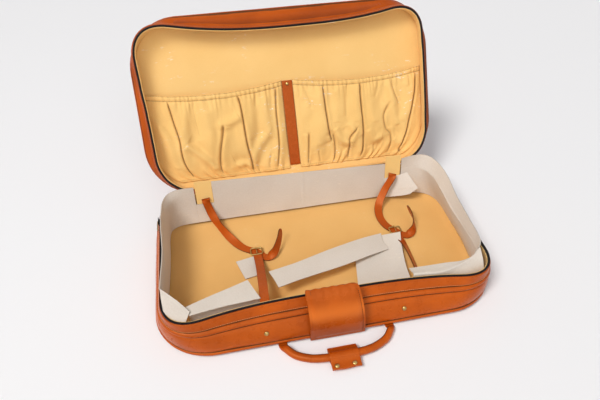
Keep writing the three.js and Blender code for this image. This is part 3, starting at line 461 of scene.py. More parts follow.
def leather(name, colour, dark, light, roughness=0.42, grain=1000.0, scuffs=0.3, highlight_band=None):
    """Smooth dyed hide: slow tone drift, fine grain, darker pores and pale rubs."""
    material, tree, shader, surface = new_material(name)
    where = surface["Object"]
    drift = use_group(tree, DRIFT, where, Scale=HIDE_DRIFT)
    fine = use_group(tree, GRAIN, where, Scale=grain)
    rubs = use_group(tree, SCUFFS, where, Scale=HIDE_RUBS, Amount=scuffs)["Mask"]
    body = blend_colours(tree, drift["Drift"], dark, colour)
    body = blend_colours(tree, times(tree, drift["Mottle"], 0.10), body, light)
    body = blend_colours(tree, times(tree, fine["Pores"], 0.25), body, dark)
    body = blend_colours(tree, rubs, body, light)
    rough = fit(tree, drift["Mottle"], 0, 1, roughness - 0.05, roughness + 0.07)
    rough = maths(tree, "ADD", rough, times(tree, rubs, 0.2))
    if highlight_band:
        # Painted highlight along its height: palest at one level, with painted shade darker towards both ends
        level, reach, highlight_colour = highlight_band
        height = add_node(tree, "ShaderNodeSeparateXYZ", {"Vector": where}).outputs["Z"]
        away = maths(tree, "ABSOLUTE", maths(tree, "SUBTRACT", height, level))
        highlight_share = fit(tree, away, 0.0, reach, 1.0, 0.0, interpolation_type="SMOOTHSTEP")
        ends = fit(tree, away, reach, 2.2 * reach, 0.0, 0.7, interpolation_type="SMOOTHSTEP")
        body = blend_colours(tree, times(tree, highlight_share, 0.75), body, highlight_colour)
        body = blend_colours(tree, ends, body, dark)
        rough = maths(tree, "SUBTRACT", rough, times(tree, highlight_share, 0.08))
        rough = maths(tree, "ADD", rough, times(tree, ends, 0.25))
    soft = bump(tree, noise_of(tree, where, HIDE_WAVES, 3.0), 0.25, HIDE_WAVE_HEIGHT)
    normal = bump(tree, fine["Height"], 0.6, HIDE_RELIEF, soft)
    feed(tree, shader, {"Base Color": body, "Roughness": rough, "Normal": normal,
                        "Specular IOR Level": 0.5, "Specular Tint": HIDE_SHINE})
    return material


def cloth(name, colour, dark, light, threads=1500.0, relief=0.00009, scuffs=0.0, roughness=0.86, waves=0.0006):
    """Woven lining: threads along the surface's own lengths, slubs, slow soiling, soft waves, and painted shade in
    sharp folds along with dark seam lines.
    """
    material, tree, shader, surface = new_material(name)
    where = surface["Object"]
    drift = use_group(tree, DRIFT, where, Scale=CLOTH_DRIFT)
    weave = use_group(tree, WEAVE, surface["UV"], Threads=threads)
    body = blend_colours(tree, drift["Drift"], dark, colour)
    body = blend_colours(tree, times(tree, weave["Slubs"], 0.25), body, light)
    if scuffs:
        rubs = use_group(tree, SCUFFS, where, Scale=CLOTH_RUBS, Amount=scuffs)["Mask"]
        body = blend_colours(tree, rubs, body, RUBBED_CLOTH)
    # Painted shade: a point attribute darkens the cloth in sharp folds, and along dark seam lines.
    crease = add_node(tree, "ShaderNodeAttribute", attribute_name="Crease shade").outputs["Fac"]
    shade = tuple(tone * share for tone, share in zip(dark, CREASE_SHADE_TONES))
    body = blend_colours(tree, times(tree, crease, 0.95), body, shade)
    rough = fit(tree, drift["Mottle"], 0, 1, roughness - 0.06, roughness + 0.06)
    gentle = bump(tree, noise_of(tree, where, CLOTH_WAVES, 3.0), 0.5, waves)
    normal = bump(tree, weave["Height"], 0.6, relief, gentle)
    feed(tree, shader, {"Base Color": body, "Roughness": rough, "Normal": normal,
                        "Specular IOR Level": 0.25, "Sheen Weight": 0.08})
    return material


def metal(name, colour, tarnish, roughness):
    """Metal with tarnish in places and small dents."""
    material, tree, shader, surface = new_material(name)
    where = surface["Object"]
    drift = use_group(tree, DRIFT, where, Scale=METAL_DRIFT)
    body = blend_colours(tree, drift["Drift"], tarnish, colour)
    rough = fit(tree, drift["Mottle"], 0, 1, roughness - 0.08, roughness + 0.1)
    normal = bump(tree, noise_of(tree, where, METAL_DENTS, 2.0), 0.3, METAL_DENT_HEIGHT)
    feed(tree, shader, {"Base Color": body, "Roughness": rough, "Normal": normal, "Metallic": 1.0})
    return material


def fibreboard(name, colour, dark):
    material, tree, shader, surface = new_material(name)
    drift = use_group(tree, DRIFT, surface["Object"], Scale=BOARD_DRIFT)
    body = blend_colours(tree, drift["Drift"], dark, colour)
    rough = fit(tree, drift["Mottle"], 0, 1, 0.85, 0.97)
    normal = bump(tree, drift["Drift"], 0.4, BOARD_RELIEF)
    feed(tree, shader, {"Base Color": body, "Roughness": rough, "Normal": normal})
    return material


TAN = leather("Tan hide", (0.535, 0.092, 0.0042), (0.35, 0.053, 0.0028), (0.66, 0.140, 0.013), roughness=0.30)
# The lid's walls use a darker copy of the same tan hide: painted shade.
TAN_LID_SHADED = leather(
    "Tan lid hide, painted shade", (0.46, 0.074, 0.0033), (0.32, 0.047, 0.0024), (0.57, 0.112, 0.010), roughness=0.34)
# The flap's hide has a painted highlight across its middle height and painted shade at its top and foot.
TAN_FLAP_HIGHLIGHTED = leather(
    "Tan flap hide", (0.52, 0.090, 0.0045), (0.35, 0.055, 0.003), (0.62, 0.132, 0.013), roughness=0.26,
    scuffs=0.06, highlight_band=(0.064, 0.022, (0.72, 0.165, 0.019)))
TAN_STRAP = leather(
    "Tan strap hide", (0.50, 0.082, 0.006), (0.34, 0.050, 0.003), (0.62, 0.135, 0.018), roughness=0.34,
    grain=1400.0)
TAN_DEEP = leather(
    "Deep tan hide", (0.44, 0.074, 0.006), (0.34, 0.050, 0.004), (0.56, 0.115, 0.014), roughness=0.26,
    grain=1300.0)
EDGE_PAINT = leather(
    "Painted leather edge", (0.12, 0.030, 0.008), (0.06, 0.016, 0.005), (0.24, 0.07, 0.02), roughness=0.5)
# The strap tabs use a brighter copy of the yellow lining: painted light.
YELLOW_TAB_LIT = cloth(
    "Yellow tab cloth, painted light", (0.97, 0.665, 0.26), (0.93, 0.60, 0.21), (0.98, 0.71, 0.32), scuffs=0.3)
# The base's floor uses a darker copy of the yellow lining: painted shade.
YELLOW_FLOOR_SHADED = cloth(
    "Yellow floor cloth", (0.80, 0.460, 0.152), (0.74, 0.40, 0.120), (0.83, 0.50, 0.19), scuffs=0.08)
YELLOW = cloth("Yellow lining cloth", (0.89, 0.57, 0.21), (0.83, 0.51, 0.172), (0.93, 0.64, 0.28), scuffs=0.6)
POCKET_CLOTH = cloth(
    "Yellow pocket cloth", (0.89, 0.565, 0.20), (0.83, 0.50, 0.16), (0.94, 0.64, 0.27), scuffs=0.9,
    waves=0.0008)
GREIGE = cloth(
    "Greige card cloth", (0.72, 0.65, 0.57), (0.64, 0.56, 0.475), (0.80, 0.74, 0.67), threads=950.0,
    relief=0.00014, scuffs=0.25)
CARD_EDGE = cloth("Cut card edge", (0.56, 0.50, 0.43), (0.42, 0.37, 0.31), (0.68, 0.62, 0.55), threads=2600.0)
TAPE_BLACK = cloth(
    "Black zip tape", (0.013, 0.010, 0.011), (0.007, 0.006, 0.007), (0.032, 0.027, 0.031), threads=2200.0,
    roughness=0.8)
ZIP_METAL = metal("Dark zip metal", (0.05, 0.042, 0.045), (0.02, 0.017, 0.018), 0.42)
BRASS = metal("Aged brass", (0.58, 0.40, 0.14), (0.30, 0.19, 0.07), 0.32)
THREAD = cloth("Pale tan thread", (0.78, 0.36, 0.14), (0.60, 0.24, 0.08), (0.86, 0.48, 0.22), threads=3000.0)
SEAM_THREAD = cloth(
    "Brown seam thread", (0.34, 0.17, 0.045), (0.26, 0.12, 0.03), (0.45, 0.25, 0.08), threads=3000.0)
FIBRE = fibreboard("Fibreboard", (0.34, 0.25, 0.16), (0.20, 0.14, 0.08))


# Outlines of the case

def rounded_outline(half_width, back_y, front_y, radius, bow):
    """From the middle of the back round by the left side and the front."""
    straight = half_width - radius
    points = []

    def line(start, stop, steps):
        for i in range(steps):
            points.append(Vector(start).lerp(Vector(stop), i / steps))

    def corner(x, y, start):
        for i in range(CORNER_STEPS):
            angle = start + (i / CORNER_STEPS) * math.pi / 2
            points.append(Vector((x + radius * math.cos(angle), y + radius * math.sin(angle))))

    line((0, back_y), (-straight, back_y), LONG_STEPS // 2)
    corner(-straight, back_y - radius, math.pi / 2)
    line((-half_width, back_y - radius), (-half_width, front_y + radius), SIDE_STEPS)
    corner(-straight, front_y + radius, math.pi)
    line((-straight, front_y), (straight, front_y), LONG_STEPS)
    corner(straight, front_y + radius, 1.5 * math.pi)
    line((half_width, front_y + radius), (half_width, back_y - radius), SIDE_STEPS)
    corner(straight, back_y - radius, 0)
    line((straight, back_y), (0, back_y), LONG_STEPS // 2)
    for p in points:
        front = clamp((front_y + radius - p.y) / radius)
        across = min(abs(p.x) / half_width, 1)
        p.y += bow * front * (1 - across**BOW_POWER)
    return points


PANEL_OUTLINE = rounded_outline(HALF_WIDTH, HALF_DEPTH, -HALF_DEPTH, PANEL_CORNER_RADIUS, 0)
RIM_OUTLINE = rounded_outline(
    HALF_WIDTH - RIM_SIDE_INSET, HALF_DEPTH - RIM_BACK_INSET, -HALF_DEPTH + RIM_FRONT_INSET, RIM_CORNER_RADIUS, RIM_BOW)


def outline_at(share):
    """The outline a share of the way from the rim to the panel, and its inward directions."""
    points = [rim.lerp(panel, share) for rim, panel in zip(RIM_OUTLINE, PANEL_OUTLINE)]
    inward = []
    for before, after in zip(points[-1:] + points[:-1], points[1:] + points[:1]):
        along = (after - before).normalized()
        inward.append(Vector((-along.y, along.x)))
    return points, inward


FACING_TOP = 0.009


class Shell:
    """One half of the case. Depths are measured from the zip; power bends the wall's run from rim to panel."""

    def __init__(self, name, depth, power, facing, welt, bulge, hide):
        self.name = name
        self.depth = depth
        self.power = power
        self.facing_end = FACING_TOP + facing
        self.welt_start = self.facing_end + 2 * CLEARANCE
        self.welt_end = self.welt_start + welt
        self.gusset_end = depth - EDGE_LIFT - PIPING_LIFT - PIPING_RADIUS - CLEARANCE
        self.piping_depth = depth - EDGE_LIFT - PIPING_LIFT
        self.bulge = bulge
        self.hide = hide


BASE = Shell("base", BASE_DEPTH, 1.0, 0.0133, 0.0085, 0.0025, TAN)
LID = Shell("lid", LID_DEPTH, 4.5, 0.006, 0.007, 0.0012, TAN_LID_SHADED)


def wall_share(shell, depth):
    down = clamp((depth - RIM_BAND) / (shell.gusset_end - RIM_BAND))
    return down**shell.power


def place_in(shell, x, y, depth):
    """A place in a shell, from where it is when the case is closed; depth is measured from the zip."""
    if shell is BASE:
        return Vector((x, y, BASE_DEPTH - depth))
    back = y - HINGE_Y
    cos, sin = math.cos(LID_OPEN), math.sin(LID_OPEN)
    return Vector((x, HINGE_Y + back * cos + depth * sin, BASE_DEPTH - back * sin + depth * cos))


# How far the lid's soft rim has given outwards once unzipped: y as a share of the half depth, then left and right
RIM_GIVE = (
    (-0.99, 0.004, 0.0), (-0.85, 0.0055, -0.0005), (-0.58, 0.005, -0.0008), (-0.29, 0.003, 0.0008),
    (0.0, 0.0, 0.001), (0.23, -0.0015, 0.0005), (0.46, -0.0025, -0.001), (0.7, -0.0038, -0.002),
    (0.87, -0.0025, -0.001), (0.955, 0.0, 0.0))
RIM_FRONT = -0.9
RIM_FLAP_END = 0.17
RIM_FLAP_FADE = 0.06
RIM_BACK_FADE = 0.25


def rim_give(shell, p, depth):
    """What the rim has given at a place of the lid, fading towards the panel, the flap and the hinge's middle."""
    if shell is BASE:
        return 0.0
    share = p.y / HALF_DEPTH
    i = 1
    while i < len(RIM_GIVE) - 1 and RIM_GIVE[i][0] < share:
        i += 1
    a, b = RIM_GIVE[i - 1], RIM_GIVE[i]
    t = ease((share - a[0]) / (b[0] - a[0]))
    left, right = lerp(a[1], b[1], t), lerp(a[2], b[2], t)
    if share < RIM_FRONT:
        give = lerp(right, left, ease(0.5 - p.x / CASE_WIDTH)) * ease((abs(p.x) - RIM_FLAP_END) / RIM_FLAP_FADE)
    else:
        give = lerp(right, left, ease(0.5 - 3 * p.x / CASE_WIDTH)) * ease(abs(p.x) / RIM_BACK_FADE)
    return give * (1 - wall_share(shell, depth))


def case_loop(shell, inset, depth, dents=0.0, seed=0.0, share=None):
    """One loop round the case, with soft dents of the leather or cloth."""
    points, inward = outline_at(wall_share(shell, depth) if share is None else share)
    loop = []
    for p, n in zip(points, inward):
        dent = 0.0
        if dents:
            dent = dents * (wander((p.x, p.y, depth * 2), 16, seed) + 0.4 * wander((p.x, p.y, depth * 3), 45, seed))
        q = p + n * (inset + dent - rim_give(shell, p, depth))
        loop.append(place_in(shell, q.x, q.y, depth))
    return loop


def case_ring(name, shell, section, dents=0.0, seed=0.0):
    loops = [case_loop(shell, inset, depth, dents, seed) for inset, depth in section]
    return grid_object(name, loops, wrap_rows=True, wrap_columns=True)


def case_run(name, shell, section, start, stop):
    loops = [case_loop(shell, inset, depth) for inset, depth in section]
    rows = [[loop[i % OUTLINE_COUNT] for i in range(start, stop + 1)] for loop in loops]
    return grid_object(name, rows, wrap_rows=True)


# Leather walls, welts, piping and panels
GUSSET_TUCK = 0.0014
WELT_RISE = 0.0027
WELT_TUCK = 0.0012
WELT_DENTS = 0.0004
WELT_SEED = 7.7
FACING_START = 0.0052
FACING_RISE = 0.0003
FACING_TUCK = 0.0007
FACING_DENTS = 0.0003
FACING_SEED = 5.2
SHADE_LINE_INSET = 0.0007
SHADE_LINE_WIDTH = 0.00075
SHADE_LINE_HEIGHT = 0.0006
LINING_START = 0.0046
LINING_EDGE_INSET = 0.007
LINING_SAG = 0.0007
BOARD_START = 0.0065
BOARD_OUTSIDE = 0.0037
BOARD_INSIDE = 0.0055


def banded(start, stop, rise, tuck, steps):
    """A section of a leather band whose edges tuck in and whose middle stands proud."""
    outer = []
    for i in range(steps + 1):
        t = i / steps
        round_over = 1 - (2 * t - 1) ** 6
        outer.append((tuck * (1 - round_over) - rise * math.sin(math.pi * t) ** 0.7, lerp(start, stop, t)))
    return outer + [(LEATHER, stop), (LEATHER, start)]


def make_leather_ring(shell, label, section, dents, seed, node=None):
    piece = case_ring(f"{shell.name}_{label}_leather", shell, section, dents, seed)
    settle(piece, shell.hide, shell.name, f"{shell.name}_{node or label}")


def make_walls(shell):
    gusset = banded(shell.welt_end + 4 * CLEARANCE, shell.gusset_end, shell.bulge, GUSSET_TUCK, 14)
    make_leather_ring(shell, "gusset", gusset, 0.0009, 3.1)
    welt = banded(shell.welt_start, shell.welt_end, WELT_RISE, WELT_TUCK, 12)
    make_leather_ring(shell, "welt", welt, WELT_DENTS, WELT_SEED)
    facing = banded(FACING_START, shell.facing_end, FACING_RISE, FACING_TUCK, 10)
    make_leather_ring(shell, "facing", facing, FACING_DENTS, FACING_SEED, "zip_facing")

    # Thin dark rods in the grooves at the facing, the welt and the piping: painted shade where the bands meet.
    shade_lines = []
    for depth in (shell.facing_end + CLEARANCE, shell.welt_end + 2.3 * CLEARANCE, shell.gusset_end - 0.0004):
        line = [(SHADE_LINE_INSET + SHADE_LINE_WIDTH * across, depth + SHADE_LINE_HEIGHT * up) for across, up in turn(6)]
        shade_lines.append(case_ring("crease_shade_line", shell, line, WELT_DENTS, WELT_SEED))
    settle(join(f"{shell.name}_creases", shade_lines), EDGE_PAINT, shell.name)

    bead = [(PIPING_INSET + PIPING_RADIUS * across, shell.piping_depth + PIPING_RADIUS * up) for across, up in turn(12)]
    make_leather_ring(shell, "piping", bead, 0.0002, 1.3)


def panel_rows(shell, edge_inset, above, sag, seed):
    """Loops from the edge of a panel to its middle, in the shell: flat inside, lifted at the edge."""
    points, inward = outline_at(1)
    rows = []
    insets = [edge_inset + (FLAT_INSET - edge_inset) * i / 5 for i in range(6)] + FLAT_LOOP_INSETS
    for inset in insets:
        lift = EDGE_LIFT * clamp((FLAT_INSET - inset) / (FLAT_INSET - edge_inset))
        soft = ease(lift / EDGE_LIFT) * EDGE_LIFT
        row = []
        for p, n in zip(points, inward):
            q = p + n * inset
            wave = sag * wander((q.x, q.y, 0), 9, seed) * clamp(inset / FLAT_INSET)
            row.append((q.x, q.y, shell.depth - above - lerp(lift, soft, 0.5) + wave))
        rows.append(row)
    spine = HALF_WIDTH - HALF_DEPTH
    last = rows[-1]
    for share in (0.25, 0.5, 0.75, 0.999):
        row = []
        for x, y, _ in last:
            x, y = lerp(x, clamp(x, -spine, spine), share), lerp(y, 0, share)
            row.append((x, y, shell.depth - above + sag * wander((x, y, 0), 9, seed)))
        rows.append(row)
    return [[place_in(shell, *p) for p in row] for row in rows]


def faces_away(piece, shell):
    """Whether a panel's open sheet faces away from the inside of its shell."""
    away = place_in(shell, 0, 0, 1) - place_in(shell, 0, 0, 0)
    return sum(face.normal.dot(away) for face in piece.data.polygons) > 0


def make_panel(shell):
    rows = panel_rows(shell, PANEL_EDGE_INSET, 0.0, 0.0, 0)
    piece = grid_object(f"{shell.name}_panel_leather", rows, wrap_columns=True)
    face_outwards(piece, PANEL_MERGE)
    thicken(piece, LEATHER, -1.0 if faces_away(piece, shell) else 1.0)
    settle(piece, TAN, shell.name, f"{shell.name}_panel", angle=40)


def make_linings(shell):
    name = shell.name
    rows = panel_rows(shell, LINING_EDGE_INSET, FLOOR_ABOVE, LINING_SAG, 4.4)
    piece = grid_object(f"{name}_floor_cloth", rows, wrap_columns=True)
    face_outwards(piece, PANEL_MERGE)
    thicken(piece, LINING, 1.0 if faces_away(piece, shell) else -1.0)
    settle(piece, YELLOW_FLOOR_SHADED if shell is BASE else YELLOW, name, f"{name}_panel_lining", angle=60)

    section = wall_section(shell, LINING_START, LINING_INSET, WALL_THICKNESS, 9)
    piece = case_ring(f"{name}_wall_cloth", shell, section, 0.0002, 9.3)
    settle(piece, YELLOW, name, f"{name}_wall_lining", angle=60)


def wall_section(shell, start, outside, inside, steps):
    """The section of a layer of a wall, from a depth down to the gusset's end."""
    down = [lerp(start, shell.gusset_end, i / steps) for i in range(steps + 1)]
    up = [lerp(start, shell.gusset_end, 1 - i / steps) for i in range(steps + 1)]
    return [(outside, depth) for depth in down] + [(inside, depth) for depth in up]


def make_wall_board(shell):
    name = shell.name
    piece = case_ring(f"{name}_wall_card", shell, wall_section(shell, BOARD_START, BOARD_OUTSIDE, BOARD_INSIDE, 6))
    settle(piece, FIBRE, name, f"{name}_wall_board", angle=50)


# Zip

# The tape's section, as inset and depth: behind the facing, up to the teeth and turned in over the wall's edge. The
# turned-in black binding is partly real and partly painted shade, standing for the shadow just inside the rim.
TAPE_SECTION = (
    (0.0023, TAPE_REACH), (0.0023, 0.010), (0.0023, 0.0042), (0.0026, 0.0036), (0.0034, 0.0032), (0.0042, 0.0031),
    (0.0050, 0.0033), (0.0055, 0.0038), (0.0056, 0.0046), (0.0056, 0.0095), (0.0051, 0.0095), (0.0051, 0.0050),
    (0.0049, 0.0043), (0.0043, 0.0040), (0.0036, 0.0041), (0.0031, 0.0048), (0.0031, 0.010), (0.0031, TAPE_REACH))
TEETH_PITCH = 0.0022
STITCH_LENGTH = 0.0026
STITCH_RADIUS = 0.00042
FACING_STITCH_PITCH = 0.0036
FACING_STITCH_ABOVE = 0.0022


def make_zip(shell):
    name = shell.name
    start, stop = HINGE_END, OUTLINE_COUNT - HINGE_END
    piece = case_run(f"{name}_tape", shell, TAPE_SECTION, start, stop)
    close_ends(piece)
    settle(piece, TAPE_BLACK, name, f"{name}_zip_tape", angle=40)

    line = case_loop(shell, ZIP_INSET, TEETH_DEPTH)[start:stop + 1]
    down = place_in(shell, 0, 0, TEETH_DEPTH) - place_in(shell, 0, 0, 0)
    piece = repeated(f"{name}_teeth_row", line, TEETH_PITCH, tooth, [down.normalized()] * len(line))
    settle(piece, ZIP_METAL, name, f"{name}_zip_teeth", angle=40)


def tooth(at, along, up, out):
    """One tooth of the zip: a small block with a narrower crown."""
    a, u, o = along * 0.0007, up * 0.0013, out * 0.0012
    corners = ((-1, -1), (1, -1), (1, 1), (-1, 1))
    low = [at + o * s + a * t + u for s, t in corners]
    high = [at + o * s * 0.6 + a * t * 0.6 - u for s, t in corners]
    faces = [(0, 3, 2, 1), (4, 5, 6, 7), (0, 1, 5, 4), (1, 2, 6, 5), (2, 3, 7, 6), (3, 0, 4, 7)]
    return low + high, faces


def stitch(at, along, up, out):
    """One sunken stitch: a short thread that rises out of the hide and goes back in."""
    points = []
    for s, r, h in ((-0.5, 0.35, -0.5), (-0.25, 1.0, 0.35), (0.25, 1.0, 0.35), (0.5, 0.35, -0.5)):
        centre = at + along * (STITCH_LENGTH * s) + up * (STITCH_RADIUS * h)
        for across, rise in turn(5):
            points.append(centre + out * (STITCH_RADIUS * r * across) + up * (STITCH_RADIUS * r * rise))
    faces = []
    for i in range(0, 15, 5):
        faces += [(i + k, i + (k + 1) % 5, i + 5 + (k + 1) % 5, i + 5 + k) for k in range(5)]
    return points, faces + [(4, 3, 2, 1, 0), (15, 16, 17, 18, 19)]


def walk(line, pitch):
    """Places and directions along a line, a pitch apart."""
    total = lengths(line, False)
    count = max(1, int(total[-1] / pitch))
    i = 0
    for k in range(count):
        at = (k + 0.5) * total[-1] / count
        while i + 2 < len(total) and total[i + 1] < at:
            i += 1
        step = line[i + 1] - line[i]
        yield i, line[i] + step * ((at - total[i]) / max(step.length, 1e-9)), step.normalized()


def repeated(name, line, pitch, shape, ups):
    """The same small shape along a line, with the direction that it stands on at each place of the line."""
    points, faces = [], []
    for i, at, along in walk(line, pitch):
        up = (ups[i] - along * ups[i].dot(along)).normalized()
        more, shape_faces = shape(at, along, up, along.cross(up))
        faces += [tuple(len(points) + v for v in face) for face in shape_faces]
        points += more
    return mesh_object(name, points, faces)


def make_facing_stitches(shell):
    """One row of stitches along each zip facing."""
    depth = shell.facing_end - FACING_STITCH_ABOVE
    line, inner = [case_loop(shell, inset, depth, FACING_DENTS, FACING_SEED) for inset in (-0.0004, 0.004)]
    ups = [(a - b).normalized() for a, b in zip(line, inner)]
    piece = repeated(
        f"{shell.name}_facing_stitches", line + line[:1], FACING_STITCH_PITCH, stitch, ups + ups[:1])
    settle(piece, THREAD, shell.name)


# Hinge
HINGE_HIDE = 0.0008
HINGE_LENGTH = 0.39
HINGE_BEAD_RADIUS = 0.002
HINGE_BEAD_ROUND = 0.0008

def make_hinge():
    for shell in (BASE, LID):
        outside, inside = ZIP_INSET - HINGE_HIDE / 2, ZIP_INSET + HINGE_HIDE / 2
        leaf = [(outside, TEETH_DEPTH), (outside, TAPE_REACH), (inside, TAPE_REACH), (inside, TEETH_DEPTH)]
        piece = case_run(f"{shell.name}_hinge_hide", shell, leaf, -LEFT_END, LEFT_END)
        close_ends(piece)
        settle(piece, TAN, shell.name, f"{shell.name}_hinge_leaf", angle=40)
    bpy.ops.mesh.primitive_cylinder_add(
        vertices=24, radius=HINGE_BEAD_RADIUS, depth=HINGE_LENGTH,
        location=(0, HINGE_Y, BASE_DEPTH), rotation=(0, math.pi / 2, 0))
    roll = place_shape("hinge_bead")
    round_edges(roll, HINGE_BEAD_ROUND)
    settle(roll, TAN, "base", "hinge_roll", angle=40)


for case_shell in (BASE, LID):
    make_walls(case_shell)
    make_panel(case_shell)
    make_linings(case_shell)
    make_wall_board(case_shell)
    make_zip(case_shell)
    make_facing_stitches(case_shell)
make_hinge()


# Loose lining band inside the base
BAND = 0.0015
BAND_INSET = 0.012
BAND_FOOT = 0.012
BAND_HEIGHT = 0.107
BAND_LEAN = math.radians(8.7)
BACK_TOP_LEFT = 0.104
BACK_TOP_RIGHT = 0.090
SLOT_WIDTH = 0.034
SLOT_FOOT = 0.055
SLOT_X = 0.196
SLOT_MARGIN = 0.0005
TAB_WAVE = 0.0012
BACK_TOP_Y = HALF_DEPTH - RIM_BACK_INSET - BAND_INSET


def back_place(x, up, wave=0.0006):
    """A place on the leaning back part, at a height along it."""
    foot = BACK_TOP_Y - BAND_HEIGHT * math.tan(BAND_LEAN)
    crease = -0.0007 * hump(x - 0.004, 0.0016)
    out = wave * wander((x, 0, up), 14, 2.0) + crease
    return Vector((x, foot + up * math.sin(BAND_LEAN) + out, up * math.cos(BAND_LEAN)))


def card(name, rows, replaces, curl=0.0, seed=0.0, extra=()):
    """A card-backed piece of the band over a fine grid, with soft waves and pale cut edges."""
    for i, row in enumerate(rows):
        for j, p in enumerate(row):
            waves = wander(p, 17, seed) + 0.35 * wander(p, 60, seed)
            row[j] = p + grid_normal(rows, i, j) * (curl * waves)
    piece = join(f"{name}_cloth", [grid_object(name, rows), *extra])
    piece.data.materials.append(GREIGE)
    piece.data.materials.append(CARD_EDGE)
    # This flat area is summed from the sheet's own mesh, so comparing the two confirms nothing.
    apply_modifier(piece, "SOLIDIFY", thickness=BAND, offset=0.0, material_offset_rim=1)
    settle(piece, GREIGE, "base", replaces, angle=40)
    return piece


def in_base(place, height=BASE_DEPTH):
    """A place in the base, from shares of the half width, the half depth and a height."""
    return Vector((place[0] * HALF_WIDTH, place[1] * HALF_DEPTH, place[2] * height))


def placed(shares, height=BAND_HEIGHT):
    """Rows of places in the base, from rows of their shares."""
    return [[in_base(place, height) for place in row] for row in shares]


# The end of the back part right of its slot has come free and leans forward: its foot, then its upper edge
FREE_END_SHARES = (
    ((0.597, 0.76, 0.13), (0.655, 0.725, 0.165), (0.71, 0.68, 0.22), (0.758, 0.647, 0.28)),
    ((0.597, 0.79, 0.26), (0.665, 0.755, 0.29), (0.735, 0.7, 0.345), (0.806, 0.64, 0.415)),
    ((0.597, 0.795, 0.275), (0.665, 0.762, 0.305), (0.735, 0.705, 0.36), (0.806, 0.645, 0.427)),
    ((0.597, 0.838, 0.514), (0.665, 0.836, 0.53), (0.712, 0.83, 0.567), (0.757, 0.818, 0.615)))


def make_band_back():
    half = HALF_WIDTH - RIM_SIDE_INSET - RIM_CORNER_RADIUS - CLEARANCE
    slot_low = SLOT_X - SLOT_WIDTH / 2

    def part(low_x, high_x, top_left, top_right, columns, rows):
        return grid_of(rows, columns, lambda up, across: back_place(
            lerp(low_x, high_x, across), lerp(BAND_FOOT, lerp(top_left, top_right, across), up)))

    middle = part(-slot_low, slot_low, BACK_TOP_LEFT, BACK_TOP_RIGHT, 150, 22)
    left = grid_object("band_end", part(-half, -slot_low, SLOT_FOOT, SLOT_FOOT, 12, 12))
    free = grid_object("band_end", fine_rows(placed(FREE_END_SHARES), 14, 24))
    card("band_back", middle, "band_back", curl=0.0003, seed=2.0, extra=(left, free))


# Round a back corner and along a side: four rows of places, from the foot up to the top edge
BAND_LEFT_SHARES = (
    ((-0.716, 0.8, 0.112), (-0.8, 0.794, 0.112), (-0.86, 0.771, 0.112), (-0.893, 0.73, 0.112),
     (-0.91, 0.655, 0.112), (-0.915, 0.533, 0.112), (-0.917, 0.232, 0.112), (-0.923, -0.087, 0.112),
     (-0.93, -0.319, 0.112), (-0.933, -0.493, 0.112)),
    ((-0.716, 0.829, 0.42), (-0.79, 0.823, 0.42), (-0.847, 0.8, 0.42), (-0.883, 0.754, 0.42),
     (-0.902, 0.678, 0.42), (-0.91, 0.551, 0.42), (-0.913, 0.243, 0.42), (-0.917, -0.087, 0.42),
     (-0.923, -0.348, 0.42), (-0.927, -0.51, 0.42)),
    ((-0.716, 0.854, 0.69), (-0.783, 0.852, 0.69), (-0.837, 0.832, 0.69), (-0.872, 0.786, 0.69),
     (-0.898, 0.701, 0.69), (-0.914, 0.574, 0.69), (-0.918, 0.272, 0.69), (-0.914, -0.075, 0.69),
     (-0.921, -0.371, 0.69), (-0.921, -0.522, 0.69)),
    ((-0.716, 0.872, 0.88), (-0.79, 0.875, 0.88), (-0.848, 0.867, 0.865), (-0.887, 0.829, 0.855),
     (-0.912, 0.742, 0.85), (-0.924, 0.609, 0.85), (-0.927, 0.301, 0.87), (-0.918, -0.046, 0.86),
     (-0.928, -0.359, 0.85), (-0.934, -0.51, 0.84)))
BAND_RIGHT_SHARES = (
    ((0.716, 0.8, 0.112), (0.8, 0.794, 0.112), (0.87, 0.759, 0.112), (0.92, 0.696, 0.112),
     (0.95, 0.591, 0.112), (0.96, 0.452, 0.112), (0.96, 0.232, 0.112), (0.96, -0.058, 0.112),
     (0.947, -0.348, 0.112), (0.93, -0.551, 0.112), (0.912, -0.684, 0.112), (0.872, -0.777, 0.112),
     (0.815, -0.828, 0.112)),
    ((0.716, 0.829, 0.42), (0.787, 0.823, 0.42), (0.847, 0.794, 0.42), (0.89, 0.736, 0.42),
     (0.913, 0.643, 0.42), (0.921, 0.51, 0.42), (0.922, 0.29, 0.42), (0.912, 0.0, 0.42), (0.905, -0.319, 0.42),
     (0.897, -0.551, 0.42), (0.893, -0.668, 0.34), (0.855, -0.755, 0.28), (0.803, -0.805, 0.26)),
    ((0.716, 0.854, 0.68), (0.783, 0.85, 0.67), (0.835, 0.822, 0.66), (0.866, 0.772, 0.66),
     (0.888, 0.692, 0.66), (0.901, 0.57, 0.66), (0.9, 0.377, 0.66), (0.891, 0.058, 0.66), (0.89, -0.261, 0.67),
     (0.888, -0.551, 0.68), (0.878, -0.65, 0.55), (0.842, -0.725, 0.45), (0.795, -0.78, 0.42)),
    ((0.716, 0.859, 0.71), (0.785, 0.856, 0.71), (0.838, 0.829, 0.71), (0.87, 0.777, 0.71),
     (0.892, 0.695, 0.71), (0.904, 0.572, 0.71), (0.903, 0.379, 0.71), (0.894, 0.06, 0.71),
     (0.892, -0.261, 0.715), (0.889, -0.553, 0.72), (0.874, -0.647, 0.59), (0.84, -0.72, 0.49),
     (0.793, -0.775, 0.45)),
    ((0.716, 0.875, 0.9), (0.793, 0.883, 0.925), (0.856, 0.872, 0.94), (0.903, 0.819, 0.94),
     (0.931, 0.718, 0.93), (0.943, 0.582, 0.92), (0.941, 0.396, 0.915), (0.918, 0.072, 0.91),
     (0.908, -0.261, 0.9), (0.895, -0.572, 0.885), (0.862, -0.632, 0.73), (0.83, -0.69, 0.6),
     (0.788, -0.75, 0.54)))
